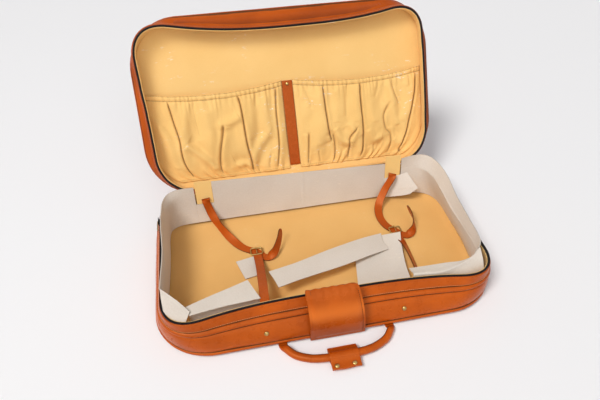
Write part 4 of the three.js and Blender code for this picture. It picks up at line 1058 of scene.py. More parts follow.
# The corner of the left part is turned down over the front corner: its slanted edge, then its edge along the zip
TURNED_CORNER_SHARES = (
    ((-0.933, -0.5, 0.825), (-0.888, -0.57, 0.785), (-0.838, -0.655, 0.742), (-0.785, -0.76, 0.69)),
    ((-0.93, -0.56, 0.785), (-0.902, -0.665, 0.725), (-0.862, -0.75, 0.69), (-0.8, -0.805, 0.66)),
    ((-0.927, -0.62, 0.72), (-0.916, -0.76, 0.64), (-0.884, -0.838, 0.6), (-0.822, -0.858, 0.59)))


def make_band_side(name, shares, along, *extra):
    rows = fine_rows(placed(shares), 18, along)
    piece = card(name, rows, name, curl=0.0009, seed=along, extra=extra)
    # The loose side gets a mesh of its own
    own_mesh(piece)


FRONT_LEFT_TUCK = 0.009
# The front parts stand at the wall and are folded in: the fold's edge, then the free edge behind it
FRONT_LEFT_FOLD_SHARES = (
    ((-0.792, -0.79, 0.657), (-0.826, -0.698, 0.66)), ((-0.69, -0.76, 0.645), (-0.73, -0.63, 0.647)),
    ((-0.601, -0.738, 0.637), (-0.645, -0.577, 0.64)), ((-0.505, -0.722, 0.628), (-0.55, -0.52, 0.63)),
    ((-0.409, -0.705, 0.62), (-0.46, -0.465, 0.622)))
FRONT_RIGHT_FOLD_SHARES = (
    ((0.455, -0.84, 0.7), (0.455, -0.657, 0.636)), ((0.536, -0.825, 0.695), (0.53, -0.665, 0.645)),
    ((0.601, -0.806, 0.695), (0.6, -0.672, 0.655)), ((0.682, -0.775, 0.7), (0.675, -0.68, 0.668)),
    ((0.769, -0.735, 0.715), (0.76, -0.7, 0.695)), ((0.83, -0.7, 0.75), (0.826, -0.686, 0.74)),
    ((0.88, -0.65, 0.83), (0.877, -0.64, 0.825)))


def rim_front_y(x):
    """The y of the outside of the front wall at the zip."""
    front = RIM_OUTLINE[LEFT_END + 2 * CORNER_STEPS + SIDE_STEPS - 6:][:LONG_STEPS + 12]
    after = max(1, next((i for i, p in enumerate(front) if p.x >= x), len(front) - 1))
    a, b = front[after - 1], front[after]
    return lerp(a.y, b.y, clamp((x - a.x) / max(b.x - a.x, 1e-6)))


def make_folded_front(name, shares, tuck=0.0):
    """A front part folded in; tuck is how far its standing face keeps away from the wall."""
    rows = []
    for edge, free in placed(shares):
        wall = rim_front_y(edge.x) + WALL_THICKNESS + BAND + 3 * CLEARANCE
        edge.y = max(edge.y, wall + 0.001)
        row = [Vector((edge.x, wall + 0.8 * tuck, BAND_FOOT)), Vector((edge.x, wall + tuck, 0.45 * edge.z))]
        row.append(Vector((edge.x, lerp(wall, edge.y, 0.4) + tuck, 0.8 * edge.z)))
        row += [edge + Vector((0, -0.001 + 0.3 * tuck, -0.0018)), edge + Vector((0, 0.0015, 0))]
        rows.append(row + [edge.lerp(free, 0.5), free])
    card(name, fine_rows(rows, 40, 42), name, curl=0.0005, seed=5.0)


# Loose sheets of the band that have swung inwards, as rows of places in the base
TAB_LEFT_SHARES = (
    ((-0.467, -0.165, 0.118), (-0.488, -0.055, 0.165), (-0.509, 0.06, 0.21)),
    ((-0.412, -0.145, 0.112), (-0.427, -0.02, 0.14), (-0.44, 0.102, 0.165)),
    ((-0.358, -0.125, 0.1), (-0.365, 0.012, 0.095), (-0.374, 0.148, 0.098)))
LONG_STRIP_SHARES = (
    ((-0.328, -0.283, 0.56), (-0.306, -0.392, 0.555), (-0.289, -0.503, 0.545)),
    ((-0.15, -0.2, 0.51), (-0.145, -0.305, 0.51), (-0.135, -0.42, 0.49)),
    ((0.1, -0.05, 0.43), (0.1, -0.18, 0.44), (0.1, -0.32, 0.42)),
    ((0.3, 0.07, 0.32), (0.3, -0.06, 0.335), (0.3, -0.2, 0.32)),
    ((0.458, 0.16, 0.184), (0.447, 0.035, 0.197), (0.458, -0.105, 0.207)))
TAB_RIGHT_SHARES = (
    ((0.16, -0.7, 0.42), (0.33, -0.71, 0.42), (0.485, -0.72, 0.42)),
    ((0.2, -0.4, 0.25), (0.36, -0.4, 0.25), (0.515, -0.39, 0.25)),
    ((0.24, -0.1, 0.14), (0.4, -0.09, 0.165), (0.555, -0.07, 0.19)),
    ((0.27, 0.12, 0.098), (0.43, 0.14, 0.145), (0.585, 0.125, 0.205)))


def make_loose_sheet(name, shares, along, across):
    card(name, fine_rows(placed(shares, BASE_DEPTH), along, across), name, curl=0.0005, seed=8.0)


def make_yellow_tab(name, side):
    half = SLOT_WIDTH / 2 - SLOT_MARGIN
    rows = grid_of(18, 14, lambda up, across: back_place(
        side * SLOT_X + lerp(-half, half, across), lerp(SLOT_FOOT + SLOT_MARGIN, BAND_HEIGHT, up), TAB_WAVE))
    piece = grid_object(f"{name}_cloth", rows)
    thicken(piece, LINING)
    settle(piece, YELLOW_TAB_LIT, "base", name, angle=50)


make_band_back()
turned_corner = grid_object("turned_corner", fine_rows(placed(TURNED_CORNER_SHARES), 12, 24))
make_band_side("band_left", BAND_LEFT_SHARES, 90, turned_corner)
make_band_side("band_right", BAND_RIGHT_SHARES, 110)
make_folded_front("band_front_left", FRONT_LEFT_FOLD_SHARES, FRONT_LEFT_TUCK)
make_folded_front("band_front_right", FRONT_RIGHT_FOLD_SHARES)
make_loose_sheet("band_tab_left", TAB_LEFT_SHARES, 22, 18)
make_loose_sheet("band_long_strip", LONG_STRIP_SHARES, 70, 16)
make_loose_sheet("band_tab_right", TAB_RIGHT_SHARES, 40, 30)
make_yellow_tab("strap_tab_left", -1)
make_yellow_tab("strap_tab_right", 1)


# Packing straps and buckles
STRAP_WIDTH = 0.016
STRAP = 0.002
BUCKLE_WIDTH = 0.025
BUCKLE_LENGTH = 0.019
BUCKLE_WIRE = 0.0026
BUCKLE_CORNER = 0.0035
LYING_Z = FLOOR_ABOVE + 3 * CLEARANCE + STRAP / 2
BUCKLE_Z = LYING_Z + STRAP / 2 + 2 * CLEARANCE + BUCKLE_WIRE / 2
LYING_SHARE = LYING_Z / BASE_DEPTH
BUCKLE_Z_SHARE = BUCKLE_Z / BASE_DEPTH
BUCKLE_Y_SHARE = 0.2
BUCKLE_LEFT_X_SHARE = -0.37
BUCKLE_RIGHT_X_SHARE = 0.565
STRAP_END_SHARE = BUCKLE_Y_SHARE - (BUCKLE_LENGTH / 2 + 3 * CLEARANCE) / HALF_DEPTH

# Routes: shares of the half width, the half depth and the base's depth, then the turn about the run in degrees
REAR_LEFT_ROUTE_SHARES = (
    (-0.648, 0.826, 0.9, 3), (-0.645, 0.807, 0.76, 2), (-0.62, 0.75, 0.44, 25), (-0.585, 0.66, 0.235, 58),
    (-0.525, 0.47, 1.45 * LYING_SHARE, 34), (-0.455, 0.305, LYING_SHARE, 0),
    (BUCKLE_LEFT_X_SHARE, BUCKLE_Y_SHARE, LYING_SHARE, 0), (-0.315, 0.095, 1.11 * LYING_SHARE, 2),
    (-0.262, 0.105, 0.24, 50), (-0.22, 0.22, 0.35, 66), (-0.192, 0.36, 0.44, 70),
)
REAR_RIGHT_ROUTE_SHARES = (
    (0.648, 0.811, 0.9, 0), (0.637, 0.785, 0.76, 0), (0.585, 0.735, 0.48, 0), (0.53, 0.63, 0.2, 0),
    (0.508, 0.48, 1.1 * LYING_SHARE, 0), (0.52, 0.32, LYING_SHARE, 0),
    (BUCKLE_RIGHT_X_SHARE, BUCKLE_Y_SHARE, LYING_SHARE, 0), (0.625, 0.1, 1.1 * LYING_SHARE, 6),
    (0.68, 0.14, 0.24, 58), (0.7, 0.27, 0.35, 74), (0.69, 0.43, 0.44, 76),
)
FRONT_LEFT_ROUTE_SHARES = (
    (-0.388, -0.775, 0.86, 0), (-0.384, -0.68, 0.81, 0), (-0.375, -0.4, 0.57, 0), (-0.368, -0.1, 0.3, 0),
    (-0.367, 0.05, 0.175, 0), (-0.368, STRAP_END_SHARE, BUCKLE_Z_SHARE, 0),
)
FRONT_RIGHT_ROUTE_SHARES = (
    (0.552, -0.76, 0.5, 50), (0.557, -0.66, 0.36, 52), (0.567, -0.5, 0.25, 52), (0.577, -0.25, 0.20, 48),
    (0.576, -0.04, 0.17, 34), (0.569, 0.06, 0.14, 10), (0.566, STRAP_END_SHARE, BUCKLE_Z_SHARE, 0),
)
STRAP_SECTION_SHARES = (
    (-1, -0.5), (-0.96, -1), (-0.5, -1), (0, -1), (0.5, -1), (0.96, -1), (1, -0.5),
    (1, 0.5), (0.96, 1), (0.5, 1), (0, 1), (-0.5, 1), (-0.96, 1), (-1, 0.5))
STRAP_EDGE_FACES = (0, 5, 6, 7, 12, 13)
PRONG_RADIUS = 0.0009
PRONG_ROUND = 0.0005
STRAP_STEPS = 14


def make_strap(name, route, tip=0):
    """A strap along its route, with painted edges; tip is the share of the length over which a free end narrows."""
    places = [in_base(place) for place in route]
    turns = [Vector((place[3], 0, 0)) for place in route]
    steps = STRAP_STEPS * (len(route) - 1)
    rows = []
    for i in range(steps + 1):
        t = i / steps
        at = curve_point(places, t)
        run = curve_run(places, t, 0.01).normalized()
        tilt = math.radians(curve_point(turns, t).x)
        flat = Vector((-run.y, run.x, 0)).normalized()
        across = flat * math.cos(tilt) + run.cross(flat) * math.sin(tilt)
        up = run.cross(across).normalized()
        width = 1.0
        if tip and t > 1 - tip:
            width = math.sqrt(max(1 - ((t - 1 + tip) / tip) ** 2 * 0.96, 0.0))
        across, up = across * (width * STRAP_WIDTH / 2), up * (STRAP / 2)
        rows.append([at + across * s + up * h for s, h in STRAP_SECTION_SHARES])
    piece = grid_object(f"{name}_hide", rows, wrap_columns=True)
    count = len(STRAP_SECTION_SHARES)
    for index, face in enumerate(piece.data.polygons):
        face.material_index = 1 if index % count in STRAP_EDGE_FACES else 0
    close_ends(piece)
    settle(piece, [TAN_STRAP, EDGE_PAINT], "base", name, angle=50)


def make_buckle(name, x_share):
    """A wire frame bent round from one rod: a plane with rounded corners, its edge turned into a rod."""
    place = (x_share * HALF_WIDTH, BUCKLE_Y_SHARE * HALF_DEPTH, BUCKLE_Z)
    bpy.ops.mesh.primitive_plane_add(size=1, location=place)
    bpy.context.object.scale = (BUCKLE_WIDTH - BUCKLE_WIRE, BUCKLE_LENGTH - BUCKLE_WIRE, 1)
    wire = place_shape(f"{name}_rod")
    with editing(wire) as mesh:
        mesh.bevel(offset=BUCKLE_CORNER, segments=5, affect="VERTICES")
        mesh.select_all(action="SELECT")
        mesh.delete(type="ONLY_FACE")
    bpy.ops.object.convert(target="CURVE")
    wire.data.bevel_depth = BUCKLE_WIRE / 2
    wire.data.bevel_resolution = 3
    bpy.ops.object.convert(target="MESH")
    settle(bpy.context.object, BRASS, "base", name, doubles=MERGE)


def make_prong(name, x_share):
    z = BUCKLE_Z + BUCKLE_WIRE / 2 + CLEARANCE + PRONG_RADIUS
    place = (x_share * HALF_WIDTH, BUCKLE_Y_SHARE * HALF_DEPTH + BUCKLE_WIRE / 2, z)
    length = BUCKLE_LENGTH - BUCKLE_WIRE
    bpy.ops.mesh.primitive_cylinder_add(
        vertices=14, radius=PRONG_RADIUS, depth=length, location=place, rotation=(math.pi / 2, 0, 0))
    pin = place_shape(f"{name}_pin")
    round_edges(pin, PRONG_ROUND, 3)
    settle(pin, BRASS, name, name, angle=40)


make_strap("strap_rear_left", REAR_LEFT_ROUTE_SHARES, 0.05)
make_strap("strap_rear_right", REAR_RIGHT_ROUTE_SHARES, 0.05)
make_strap("strap_front_left", FRONT_LEFT_ROUTE_SHARES)
make_strap("strap_front_right", FRONT_RIGHT_ROUTE_SHARES)
for buckle_side, buckle_x in (("left", BUCKLE_LEFT_X_SHARE), ("right", BUCKLE_RIGHT_X_SHARE)):
    make_buckle(f"buckle_{buckle_side}", buckle_x)
    make_prong(f"prong_{buckle_side}", buckle_x)


# Studs
STUD_RADIUS = 0.004
CENTRE_STUD_RADIUS = 0.0034
STUD_RISE = 0.0022
STUD_PROUD = 0.0022
STUD_FOOT = 0.0002

def make_stud(node, body, radius, proud=0.0):
    """A domed head bisected from a sphere, square to the foot of its solid."""
    points = [vertex.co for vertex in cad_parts[node].data.vertices]
    axis = stud_axis(points)
    foot = min(p.dot(axis) for p in points)
    ring = [p for p in points if p.dot(axis) < foot + STUD_FOOT]
    place = sum(ring, Vector((0, 0, 0))) / len(ring) + axis * proud
    bpy.ops.mesh.primitive_uv_sphere_add(segments=28, ring_count=16, radius=1)
    stud = bpy.context.object
    with editing(stud) as mesh:
        mesh.bisect(plane_co=(0, 0, 0), plane_no=(0, 0, 1), use_fill=True, clear_inner=True)
    stud.scale = (radius, radius, STUD_RISE)
    stud.rotation_euler = axis.to_track_quat("Z", "Y").to_euler()
    stud.location = place
    settle(place_shape(f"{node}_head"), BRASS, body, node, angle=60)


def stud_axis(points):
    """The direction a stud's dome points: from the middle of its flat foot to its tip."""
    best = None
    centre = sum(points, Vector((0, 0, 0))) / len(points)
    farthest = sorted(points, key=lambda p: (p - centre).length)[-12:]
    ring = sum(farthest, Vector((0, 0, 0))) / len(farthest)
    for a in farthest:
        for b in farthest:
            normal = (a - ring).cross(b - ring)
            if best is None or normal.length > best.length:
                best = normal
    best = best.normalized()
    heights = [(p - ring).dot(best) for p in points]
    return best if max(heights) > -min(heights) else -best


for stud_side in ("left", "right"):
    make_stud(f"gusset_stud_{stud_side}", "base", STUD_RADIUS, STUD_PROUD)
for stud_side in ("left", "right"):
    make_stud(f"wrap_stud_{stud_side}", "handle", STUD_RADIUS)
make_stud("centre_stud", "lid", CENTRE_STUD_RADIUS)


# Handle
CORD_RADIUS = 0.0060
HANDLE_X = -0.004
HANDLE_HALF_SPAN = 0.092
HANDLE_REACH = HALF_DEPTH + 0.0445
HANDLE_PIVOT_Y = 0.0045 - HALF_DEPTH
TONGUE_HALF_WIDTH = 0.0075
TONGUE_HALF_HEIGHT = 0.0012
HANDLE_PIVOT_Z = TONGUE_HALF_HEIGHT + CLEARANCE
WRAP_WIDTH = 0.048
WRAP_WALL = 0.002
WRAP_BACK = 0.016
WRAP_FRONT = 0.023
WRAP_EDGE = 0.004
WRAP_BEND = -0.0115
WRAP_HIDE = 0.0018
WRAP_CLEARANCE = 0.0006
CORD_MIDDLE_Z = CORD_RADIUS + WRAP_WALL + WRAP_CLEARANCE

CORD_SIDES = 20
CORD_STEPS = 150
SEAM_ANGLE = 0.75
SEAM_RISE = 1.07
SEAM_RADIUS = 0.0009

# The left half: x and y as shares of the half span and the reach, z a share of the rise, and how round the section is
HANDLE_SHARES = (
    (1, -0.02, 0, 0), (1, 0.13, 0, 0), (1, 0.24, 0.35, 0.6), (0.96, 0.38, 0.7, 1),
    (0.82, 0.68, 0.75, 1), (0.58, 0.9, 0.85, 1), (0.34, 0.99, 1, 1), (0.16, 1, 1, 1))


def make_handle():
    reach = HANDLE_REACH + HANDLE_PIVOT_Y
    left = []
    for x, y, z, _ in HANDLE_SHARES:
        rise = lerp(HANDLE_PIVOT_Z, CORD_MIDDLE_Z, z)
        left.append(Vector((HANDLE_X - x * HANDLE_HALF_SPAN, HANDLE_PIVOT_Y - y * reach, rise)))
    places = left + [Vector((2 * HANDLE_X - p.x, p.y, p.z)) for p in reversed(left)]
    rounds = [Vector((place[3], 0, 0)) for place in HANDLE_SHARES + HANDLE_SHARES[::-1]]
    rows, seam = [], []
    for i in range(CORD_STEPS + 1):
        t = i / CORD_STEPS
        at = curve_point(places, t)
        run = curve_run(places, t, 0.004)
        across = Vector((-run.y, run.x, 0)).normalized()
        share = clamp(curve_point(rounds, t).x)
        half_width = lerp(TONGUE_HALF_WIDTH, CORD_RADIUS, share)
        half_height = lerp(TONGUE_HALF_HEIGHT, CORD_RADIUS, share)
        row = []
        for k in range(CORD_SIDES):
            angle = k / CORD_SIDES * 2 * math.pi
            from_seam = math.atan2(math.sin(angle - SEAM_ANGLE), math.cos(angle - SEAM_ANGLE))
            ridge = 1 + 0.12 * share * hump(from_seam, 0.28)
            side, up = half_width * ridge * math.cos(angle), half_height * ridge * math.sin(angle)
            row.append(at + across * side + Vector((0, 0, up)))
        rows.append(row)
        if share > 0.9:
            away = CORD_RADIUS * SEAM_RISE
            seam.append(at + across * (away * math.cos(SEAM_ANGLE)) + Vector((0, 0, away * math.sin(SEAM_ANGLE))))
    settle(closed_run("handle_cord", rows), TAN, "handle", "handle", angle=60)
    settle(rod("handle_seam", seam, SEAM_RADIUS, 8), EDGE_PAINT, "handle")


def rod(name, line, radius, sides):
    """A round rod along a line of places, with its ends closed."""
    rows = []
    for i, at in enumerate(line):
        run = (line[min(i + 1, len(line) - 1)] - line[max(i - 1, 0)]).normalized()
        side = run.cross(Vector((0, 0, 1))).normalized()
        up = side.cross(run)
        rows.append([at + side * (radius * across) + up * (radius * rise) for across, rise in turn(sides)])
    return closed_run(name, rows)


def make_wrap():
    """A strip of hide laid round the cord: a fold at the back, and two layers riveted together at the front."""
    bore = CORD_RADIUS + WRAP_CLEARANCE + WRAP_WALL / 2
    angles = [lerp(0.17, 0.83, i / 12) * math.pi for i in range(13)]
    top = [(bore * math.cos(angle), bore * math.sin(angle)) for angle in angles]
    edge = WRAP_EDGE / 4
    back = WRAP_BACK - 0.0004
    profile = [(lerp(-WRAP_FRONT, WRAP_BEND, i / 4), edge) for i in range(4)] + top[::-1]
    profile += [(WRAP_BACK - 0.002, edge), (back, 0.0006), (back, -0.0006), (WRAP_BACK - 0.002, -edge)]
    profile += [(y, -z) for y, z in top] + [(lerp(WRAP_BEND, -WRAP_FRONT, i / 4), -edge) for i in range(1, 5)]

    def place(across, along):
        x = HANDLE_X + lerp(-WRAP_WIDTH / 2, WRAP_WIDTH / 2, across)
        y, z = profile[round(along * (len(profile) - 1))]
        wave = 0.0009 * math.sin(across * 9 + 0.6) * clamp((-y - 0.014) / 0.009)
        return Vector((x, -HANDLE_REACH + y + 0.35 * wave, CORD_MIDDLE_Z + z + wave * 0.7))

    piece = grid_object("handle_wrap_hide", grid_of(26, len(profile) - 1, place))
    thicken(piece, WRAP_HIDE)
    round_edges(piece, SMALL_ROUND)
    settle(piece, TAN, "handle", "handle_wrap", angle=50)


make_handle()
make_wrap()
for handle_tab in ("handle_tab_left", "handle_tab_right"):
    dress_node(handle_tab, TAN_STRAP)


# Padded flap in front of the front wall
FLAP_LEFT = -0.050
FLAP_RIGHT = 0.043
FLAP_TOP_RIGHT = 0.034
FLAP_THICKNESS = 0.004
FLAP_FOOT_Z = 0.004
FLAP_TOP_Z = 0.100
FLAP_TOP_Y = 0.0245 - HALF_DEPTH
FLAP_BULGE = 0.013
FLAP_CORNER = 0.075
FLAP_STEPS = 44
FLAP_STITCH_PITCH = 0.0034
FLAP_STITCH_RISE = 0.0018


def flap_place(across, up):
    foot_y = -HALF_DEPTH + PIPING_INSET - PIPING_RADIUS - CLEARANCE - FLAP_THICKNESS / 2
    bulge = FLAP_BULGE * math.sin(math.pi * up) * up**0.3 if up > 0 else 0
    y = lerp(foot_y, FLAP_TOP_Y, up**1.15) - bulge
    z = lerp(FLAP_FOOT_Z, FLAP_TOP_Z, up)
    right = lerp(FLAP_RIGHT, FLAP_TOP_RIGHT, up**2)
    left = FLAP_LEFT - 0.004 * up**3
    return Vector((lerp(left, right, across), y + 0.0006 * math.sin(40 * across) * up**8, z))


def make_flap():
    """A padded flap: two layers of hide over a soft filling, closed round the edge into one pad; its rows of stitches
    are made separately.
    """

    def place(up, across):
        past = max((up - 1 + FLAP_CORNER) / FLAP_CORNER, 0)
        pinch = 0.09 * (1 - math.sqrt(max(1 - past**2, 0)))
        return flap_place(lerp(0.25 * pinch, 1 - pinch, across), up)

    rows = grid_of(FLAP_STEPS, FLAP_STEPS, place)
    closed = []
    for i, row in enumerate(rows):
        front, back = [], []
        for j, p in enumerate(row):
            from_edge = min(i, FLAP_STEPS - i, j, FLAP_STEPS - j) / FLAP_STEPS
            pad = 0.0011 + 0.0019 * ease(from_edge / 0.14) - 0.0006 * hump(from_edge - 0.05, 0.018)
            normal = grid_normal(rows, i, j)
            front.append(p + normal * pad)
            back.append(p - normal * (pad - 0.0005 * wander(p, 30, 6.0)))
        closed.append(front + back[::-1])
    piece = closed_run("front_flap_hide", closed)
    settle(piece, TAN_FLAP_HIGHLIGHTED, "base", "front_flap", angle=70, doubles=MERGE)


def make_flap_stitches():
    left_path = [(0.095, lerp(0.04, 0.985, i / 70)) for i in range(71)]
    right_path = [(0.955, lerp(0.90, 0.04, i / 60)) for i in range(61)]
    pieces = []
    for path in (left_path, right_path):
        line, ups = [], []
        for across, up in path:
            along = flap_place(across, min(up + 0.01, 1)) - flap_place(across, max(up - 0.01, 0))
            normal = Vector((1, 0, 0)).cross(along).normalized()
            if normal.y > 0:
                normal = -normal
            line.append(flap_place(across, up) + normal * FLAP_STITCH_RISE)
            ups.append(normal)
        pieces.append(repeated("stitch_row", line, FLAP_STITCH_PITCH, stitch, ups))
    settle(join("front_flap_stitches", pieces), EDGE_PAINT, "base")


make_flap()
make_flap_stitches()


# Zip sliders and pullers
SLIDER_FROM_BACK = 0.0865
PLATE = (0.001, 0.014, 0.010)
PLATE_OUT = 0.0021
WEDGE = (0.0042, 0.012, 0.0016)
PULLER = (0.0014, 0.024, 0.005)
PULLER_FORWARD = 0.0117


def block(name, size, place):
    bpy.ops.mesh.primitive_cube_add(size=1, location=place)
    bpy.context.object.scale = size
    return place_shape(name)


def make_slider(side, label):
    x = side * (HALF_WIDTH - RIM_SIDE_INSET - ZIP_INSET)
    y = HALF_DEPTH - SLIDER_FROM_BACK
    plates = []
    for out in (-PLATE_OUT, PLATE_OUT):
        plate = block("plate", PLATE, (x + out, y, BASE_DEPTH))
        round_edges(plate, SMALL_ROUND)
        plates.append(plate)
    body = join(f"slider_{label}_body", plates + [block("wedge", WEDGE, (x, y, BASE_DEPTH))])
    settle(body, ZIP_METAL, f"slider_{label}", f"slider_{label}", angle=40)
    tab_x = x + side * (0.0013 + CLEARANCE + PLATE[0] + 0.0005 + PULLER[0] / 2)
    tab = block(f"puller_{label}_tab", PULLER, (tab_x, y - PULLER_FORWARD, BASE_DEPTH))
    with editing(tab) as mesh:
        mesh.subdivide(number_cuts=2)
    for vertex in tab.data.vertices:
        along = (y - vertex.co.y) / PULLER[1]
        vertex.co.z = BASE_DEPTH + (vertex.co.z - BASE_DEPTH) * lerp(0.6, 1.15, math.sin(clamp(along) * 2.4))
    round_edges(tab, SMALL_ROUND)
    settle(tab, BRASS, f"puller_{label}", f"puller_{label}", angle=40)


make_slider(-1, "left")
make_slider(1, "right")


# Lid pockets and the strip between them
POCKET_FOOT = 0.024
POCKET_MOUTH = 0.200
POCKET_SIDE_MARGIN = 0.016
POCKET_GAPE = 0.013
POCKET_CLOTH_THICKNESS = 0.0008
POCKET_MOUTH_SHARE = 0.75
POCKET_STITCH_PITCH = 0.0030
POCKET_STEPS = (120, 240)
CASING_WIDTH = 0.0095
CASING_RISE = 0.0013
SEAM_BELOW_MOUTH = 0.0100
SEAM_DIP = 0.0011
GATHERS = 27
GATHER_RISE = 0.0013
TUCKS = 11
TUCK_RISE = 0.0016
THINNEST_OUT = 0.0002
CASING_SEAMS = (0.990, 0.938)
FOLD_SHOULDER = 0.010
STRIP_WIDTH = 0.021
STRIP_FOOT = 0.031
STRIP_TOP = 0.205
POCKET_BACK = LID_DEPTH - FLOOR_ABOVE - 0.0011

# Pleats: places across and up the half, in shares, from the mouth down; then depth and half width in metres
LEFT_PLEATS = (
    (((0.846, 0.95), (0.822, 0.70), (0.797, 0.44), (0.820, 0.12), (0.838, 0.05)), 0.0062, 0.0019),
    (((0.65, 0.93), (0.668, 0.84), (0.663, 0.67), (0.65, 0.50)), 0.0026, 0.0055),
    (((0.47, 0.60), (0.482, 0.49), (0.53, 0.25), (0.585, 0.05)), 0.0058, 0.0032),
    (((0.341, 0.95), (0.322, 0.78), (0.313, 0.44), (0.305, 0.17), (0.327, 0.03)), 0.0066, 0.0022),
    (((0.199, 0.96), (0.217, 0.78)), 0.0026, 0.004),
    (((0.045, 0.98), (0.061, 0.71), (0.064, 0.36), (0.081, 0.18), (0.11, 0.03)), 0.0055, 0.0020),
    (((0.14, 0.20), (0.18, 0.04)), 0.003, 0.003),
    (((0.97, 0.85), (0.81, 0.47)), 0.0012, 0.005),
)
LEFT_RIDGES = (
    (((0.76, 0.43), (0.70, 0.36), (0.63, 0.22), (0.595, 0.10)), 0.0085, 0.009),
    (((0.34, 0.68), (0.42, 0.62), (0.50, 0.60)), 0.0060, 0.009),
    (((0.56, 0.80), (0.555, 0.50), (0.60, 0.20)), 0.0045, 0.012),
    (((0.14, 0.45), (0.22, 0.30), (0.29, 0.12)), 0.0075, 0.010),
    (((0.44, 0.12), (0.36, 0.13), (0.32, 0.08)), 0.0060, 0.007),
    (((0.72, 0.90), (0.735, 0.62), (0.72, 0.45)), 0.0045, 0.011),
    (((0.24, 0.90), (0.25, 0.60), (0.27, 0.40)), 0.0045, 0.010),
    (((0.12, 0.90), (0.14, 0.60), (0.12, 0.45)), 0.0040, 0.010),
    (((0.92, 0.70), (0.86, 0.40), (0.87, 0.15)), 0.0045, 0.012),
)
RIGHT_PLEATS = (
    (((0.02, 0.97), (0.059, 0.86)), 0.0018, 0.004),
    (((0.075, 0.95), (0.124, 0.70)), 0.0026, 0.004),
    (((0.085, 0.39), (0.066, 0.03)), 0.0050, 0.0024),
    (((0.221, 0.94), (0.23, 0.64), (0.24, 0.40), (0.262, 0.27)), 0.0068, 0.0024),
    (((0.269, 0.35), (0.289, 0.22), (0.305, 0.03)), 0.0050, 0.0024),
    (((0.153, 0.17), (0.176, 0.03)), 0.0030, 0.0025),
    (((0.407, 0.93), (0.392, 0.75), (0.382, 0.54)), 0.0024, 0.0045),
    (((0.462, 0.39), (0.405, 0.27), (0.415, 0.15), (0.43, 0.03)), 0.0050, 0.0026),
    (((0.497, 0.96), (0.51, 0.87), (0.505, 0.77), (0.511, 0.47), (0.517, 0.26), (0.55, 0.03)), 0.0066, 0.0022),
    (((0.664, 0.93), (0.623, 0.73)), 0.0022, 0.004),
    (((0.761, 0.94), (0.771, 0.80), (0.813, 0.62)), 0.0034, 0.0028),
    (((0.732, 0.64), (0.685, 0.49), (0.698, 0.34), (0.746, 0.26), (0.80, 0.03)), 0.0044, 0.0030),
    (((0.903, 0.96), (0.909, 0.81)), 0.0026, 0.003),
    (((0.965, 0.95), (0.947, 0.70), (0.885, 0.36), (0.885, 0.09), (0.93, 0.03)), 0.0066, 0.0026),
    (((0.621, 0.17), (0.66, 0.03)), 0.0026, 0.0026),
)
RIGHT_RIDGES = (
    (((0.285, 0.42), (0.33, 0.27), (0.41, 0.20)), 0.0075, 0.008),
    (((0.40, 0.45), (0.44, 0.33), (0.42, 0.22)), 0.0050, 0.008),
    (((0.54, 0.35), (0.60, 0.22), (0.68, 0.24)), 0.0070, 0.009),
    (((0.14, 0.85), (0.17, 0.50), (0.15, 0.22)), 0.0045, 0.012),
    (((0.31, 0.88), (0.31, 0.62), (0.30, 0.48)), 0.0040, 0.011),
    (((0.45, 0.90), (0.45, 0.65), (0.455, 0.45)), 0.0045, 0.011),
    (((0.58, 0.90), (0.57, 0.65), (0.60, 0.42)), 0.0045, 0.012),
    (((0.72, 0.88), (0.745, 0.72), (0.76, 0.50), (0.78, 0.35)), 0.0060, 0.010),
    (((0.85, 0.88), (0.87, 0.60), (0.82, 0.40)), 0.0045, 0.012),
    (((0.78, 0.20), (0.84, 0.14), (0.90, 0.10)), 0.0050, 0.008),
)


def pocket_reach(distance):
    radius = PANEL_CORNER_RADIUS - POCKET_SIDE_MARGIN
    past = max(PANEL_CORNER_RADIUS - distance, 0)
    return HALF_WIDTH - PANEL_CORNER_RADIUS + math.sqrt(max(radius**2 - past**2, 0))


def panel_inset(x, y):
    past_x = abs(x) - (HALF_WIDTH - PANEL_CORNER_RADIUS)
    past_y = abs(y) - (HALF_DEPTH - PANEL_CORNER_RADIUS)
    outside = math.hypot(max(past_x, 0), max(past_y, 0))
    return PANEL_CORNER_RADIUS - outside - min(max(past_x, past_y), 0)


def dense(line, steps=14):
    points = [Vector((a, b, 0)) for a, b in line]
    places = [curve_point(points, i / steps) for i in range(steps + 1)]
    return [(place.x, place.y) for place in places]


def prepared(folds, sign=1):
    """Each fold with its smooth line and the room round it in which it is felt."""
    result = []
    for line, amount, half in folds:
        points = dense(line)
        xs, ys = [p[0] for p in points], [p[1] for p in points]
        result.append((points, (min(xs), max(xs), min(ys), max(ys)), sign * amount, half))
    return result


